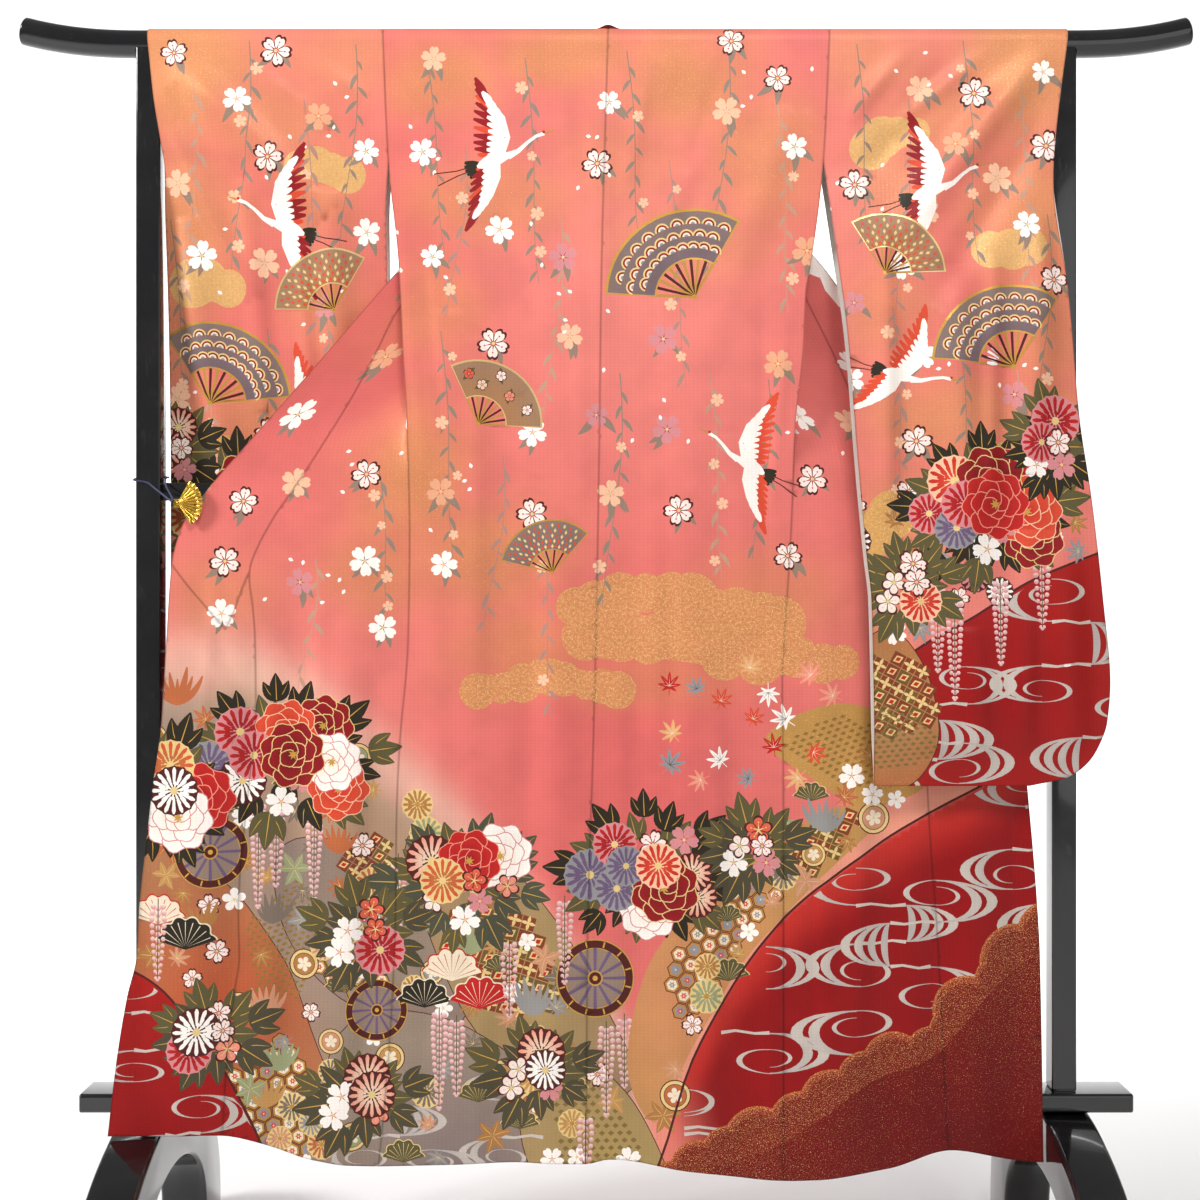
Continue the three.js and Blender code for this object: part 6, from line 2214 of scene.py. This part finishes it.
class FURISODE_OT_fronts(bpy.types.Operator):
    """Builds both fronts, which fold away beside the back"""

    bl_idname = "furisode.fronts"
    bl_label = "Fronts"

    def execute(self, context):
        for side in (LEFT, RIGHT):
            surface = front_surface(side.name)
            robe_piece(f"front_{side.name}", surface, front_outline(surface), drawn_body(),
                       body_ground)
        return {"FINISHED"}


class FURISODE_OT_collars(bpy.types.Operator):
    """Builds both halves of the collar"""

    bl_idname = "furisode.collars"
    bl_label = "Collars"

    def execute(self, context):
        for side in (LEFT, RIGHT):
            surface = front_surface(side.name)
            robe_piece(f"collar_{side.name}", surface, collar_outline(surface), drawn_body(),
                       body_ground)
        return {"FINISHED"}


class FURISODE_OT_neck(bpy.types.Operator):
    """Builds the collar's middle, which passes over the bar"""

    bl_idname = "furisode.neck"
    bl_label = "Collar Neck"

    def execute(self, context):
        def surface(u, v):
            z, over = over_bar(v)
            hump = NECK_HUMP[1] * np.exp(-(((u - NECK_X) / NECK_HUMP[0]) ** 2))
            return np.stack([u, over, z + hump * smooth(BAR_HEIGHT, TOP_V, v)], -1)

        v = levels(BAR_HEIGHT - 4, TOP_V - 0.4, 3.0)
        z = over_bar(v)[0]
        left, right = LEFT.edge_x(z), RIGHT.edge_x(z)
        lower = np.linspace((left[0], v[0]), (right[0], v[0]), 12)[1:-1]
        upper = np.linspace((right[-1], v[-1]), (left[-1], v[-1]), 12)[1:-1]
        outline = counter_clockwise(np.concatenate([
            lower, np.stack([right, v], -1), upper, np.stack([left, v], -1)[::-1]
        ]))
        robe_piece("collar_neck", surface, outline, Picture(), body_ground)
        return {"FINISHED"}


class FURISODE_OT_gussets(bpy.types.Operator):
    """Builds both gussets, the narrow panels under the collar"""

    bl_idname = "furisode.gussets"
    bl_label = "Gussets"

    def execute(self, context):
        for side in (LEFT, RIGHT):
            surface = front_surface(side.name)
            robe_piece(f"okumi_{side.name}", surface, gusset_outline(surface), drawn_body(),
                       body_ground)
        return {"FINISHED"}


class FURISODE_OT_sleeves(bpy.types.Operator):
    """Builds both layers of both swinging sleeves"""

    bl_idname = "furisode.sleeves"
    bl_label = "Sleeves"

    def execute(self, context):
        for side, near_folds, far_folds in (
            (LEFT, LEFT_SLEEVE_FOLDS, LEFT_FAR_FOLDS), (RIGHT, RIGHT_SLEEVE_FOLDS, RIGHT_FAR_FOLDS)
        ):
            for title, near, folds in (("near", -1, near_folds), ("far", 1, far_folds)):
                surface = sleeve_surface(side, near, folds)
                robe_piece(f"sleeve_{side.name}_{title}", surface, sleeve_outline(surface, near),
                           sleeve_picture(side, near), sleeve_ground)
        return {"FINISHED"}


def lacquered(name, points, faces):
    piece = mesh_piece("lacquered_" + name, points, faces)
    piece.data.set_sharp_from_angle(angle=math.radians(50))
    finish_piece(piece, "lacquer", "black_lacquer")
    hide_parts(name)


class FURISODE_OT_frame(bpy.types.Operator):
    """Builds the stand's bar, posts and rails"""

    bl_idname = "furisode.frame"
    bl_label = "Bar, Posts and Rails"

    def execute(self, context):
        rounding = context.scene.furisode_stand.rounding / MM
        lacquered("top_bar", *top_bar())
        reach = POST_X - POST_SIZE / 2 - REST
        lacquered("mid_rail", *along_x(rounded_box(*MID_RAIL, 3), 0, reach, 0.4))
        lacquered("lower_rail", *along_x(rounded_box(*LOWER_RAIL, 5), 0, LOWER_RAIL_HALF, 3))
        for side in (LEFT, RIGHT):
            post = along_x(post_outline(), side.way * POST_X, POST_SIZE / 2, rounding)
            lacquered(f"post_{side.name}", *post)
        return {"FINISHED"}


class FURISODE_OT_feet(bpy.types.Operator):
    """Builds the stand's two bowed feet"""

    bl_idname = "furisode.feet"
    bl_label = "Feet"

    def execute(self, context):
        rounding = context.scene.furisode_stand.foot_rounding / MM
        for side in (LEFT, RIGHT):
            foot = along_x(foot_outline(), side.way * POST_X, FOOT_HALF_WIDE, rounding)
            lacquered(f"foot_{side.name}", *foot)
        return {"FINISHED"}


class FURISODE_OT_clip(bpy.types.Operator):
    """Builds the spring clip: a gilt fan, its rivet and the jaw that grips the cloth"""

    bl_idname = "furisode.clip"
    bl_label = "Fan Clip"

    def execute(self, context):
        parts = (
            ("gilt_fan", fan_plate(), "clip_fan"),
            ("fan_rivet", rivet(CLIP_PIVOT + (1.5, -1.3, 0), 3.4, 1.8), None),
            ("gilt_jaw", jaw(), "clip_jaw"),
        )
        for name, made, stands_for in parts:
            piece = mesh_piece(name, *made)
            piece.data.set_sharp_from_angle(angle=math.radians(40))
            finish_piece(piece, "clip_metal", "gilt_metal")
            if stands_for:
                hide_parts(stands_for)
        return {"FINISHED"}


class FURISODE_OT_cord(bpy.types.Operator):
    """Builds the cord that ties the clip to the post"""

    bl_idname = "furisode.cord"
    bl_label = "Tie Cord"

    def execute(self, context):
        stand = context.scene.furisode_stand
        line = cord_route()
        points, faces, length = twisted_tube(line, stand.cord_radius / MM, stand.twist / MM)
        piece = mesh_piece("tie_cord_twisted", points, faces)
        finish_piece(piece, "tie", "navy_cord")
        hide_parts("tie_cord")
        return {"FINISHED"}


class FURISODE_OT_stage(bpy.types.Operator):
    """Builds the floor, the lights and the camera"""

    bl_idname = "furisode.stage"
    bl_label = "Stage"

    def execute(self, context):
        scene, stage = context.scene, context.scene.furisode_stage
        scene.view_settings.view_transform = "Standard"
        # floor and backdrop: flat, then a quarter circle up, then upright
        half, front, back, bend, top = 9.0, -8.0, 4.0, 2.0, 9.0
        turn = np.linspace(0, math.pi / 2, 24)
        y = np.concatenate([[front], back + bend * np.sin(turn), [back + bend]])
        z = np.concatenate([[0.0], bend - bend * np.cos(turn), [top]])
        grid = np.stack([np.tile([-half, half], len(y)), np.repeat(y, 2), np.repeat(z, 2)], -1)
        floor = mesh_piece("floor", grid / MM, grid_faces(len(y), 2))
        material, _, shader = nodes_of("pale_floor")
        shader.inputs["Base Color"].default_value = (*stage.floor, 1)
        shader.inputs["Roughness"].default_value = 0.9
        floor.data.materials.append(material)

        world = bpy.data.worlds.new("studio")
        world.use_nodes = True
        sky = world.node_tree.nodes["Background"].inputs
        sky[0].default_value = (1, 1, 1, 1)
        sky[1].default_value = stage.world
        scene.world = world
        lamps = (
            ("key", (-3.4, -1.9, 3.2), (0, 0, 1.35), 1.0, stage.key),
            ("sheen", (0.5, -2.3, 3.7), (0, 0, 1.5), 0.8, stage.sheen),
            ("fill", (2.4, -3.6, 1.4), (0, 0, 1.0), 2.4, stage.fill),
            ("back", (0.0, 2.6, 3.6), (0, 6.0, 0.8), 4.0, stage.back),
        )
        for name, place_at, aim, size, power in lamps:
            lamp = bpy.data.lights.new(name, "AREA")
            lamp.size, lamp.energy = size, power
            light = bpy.data.objects.new(name, lamp)
            light.location = place_at
            light.rotation_mode = "QUATERNION"
            light.rotation_quaternion = (Vector(aim) - Vector(place_at)).to_track_quat("-Z", "Y")
            scene.collection.objects.link(light)

        lens = bpy.data.cameras.new("camera")
        lens.sensor_width = 36.0
        lens.lens = lens.sensor_width * FOCAL_PIXELS / FRAME_PIXELS
        camera = bpy.data.objects.new("camera", lens)
        camera.location = (-0.009, -2.4, 1.0)
        camera.rotation_euler = (math.pi / 2, 0, 0)
        scene.collection.objects.link(camera)
        scene.camera = camera
        return {"FINISHED"}


class FURISODE_PT_sidebar(bpy.types.Panel):
    """Lists the settings and the steps that build the robe and its stand"""

    bl_label = "Furisode on Stand"
    bl_idname = "FURISODE_PT_sidebar"
    bl_space_type = "VIEW_3D"
    bl_region_type = "UI"
    bl_category = "Furisode"

    def draw(self, context):
        for title, settings, steps in (
            ("Silk", "furisode_silk", ROBE_STEPS), ("Stand", "furisode_stand", STAND_STEPS),
            ("Stage", "furisode_stage", (FURISODE_OT_stage,)),
        ):
            box = self.layout.box()
            box.label(text=title)
            values = getattr(context.scene, settings)
            for name in type(values).__annotations__:
                box.prop(values, name)
            for step in steps:
                box.operator(step.bl_idname)


ROBE_STEPS = (
    FURISODE_OT_backs, FURISODE_OT_fronts, FURISODE_OT_collars, FURISODE_OT_neck,
    FURISODE_OT_gussets, FURISODE_OT_sleeves,
)
STAND_STEPS = (FURISODE_OT_frame, FURISODE_OT_feet, FURISODE_OT_clip, FURISODE_OT_cord)
SETTINGS = {
    "furisode_silk": FURISODE_PG_silk, "furisode_stand": FURISODE_PG_stand,
    "furisode_stage": FURISODE_PG_stage,
}
CLASSES = (*SETTINGS.values(), FURISODE_OT_stage, *STAND_STEPS, *ROBE_STEPS, FURISODE_PT_sidebar)


def register():
    for cls in CLASSES:
        bpy.utils.register_class(cls)
    for name, kind in SETTINGS.items():
        setattr(bpy.types.Scene, name, bpy.props.PointerProperty(type=kind))


def unregister():
    for name in SETTINGS:
        delattr(bpy.types.Scene, name)
    for cls in reversed(CLASSES):
        bpy.utils.unregister_class(cls)


def main():
    register()
    make_groups()
    bpy.ops.furisode.stage()
    bpy.ops.furisode.cord()
    bpy.ops.furisode.frame()
    bpy.ops.furisode.feet()
    bpy.ops.furisode.clip()
    bpy.ops.furisode.backs()
    bpy.ops.furisode.fronts()
    bpy.ops.furisode.collars()
    bpy.ops.furisode.neck()
    bpy.ops.furisode.gussets()
    bpy.ops.furisode.sleeves()


if __name__ == "__main__":
    main()
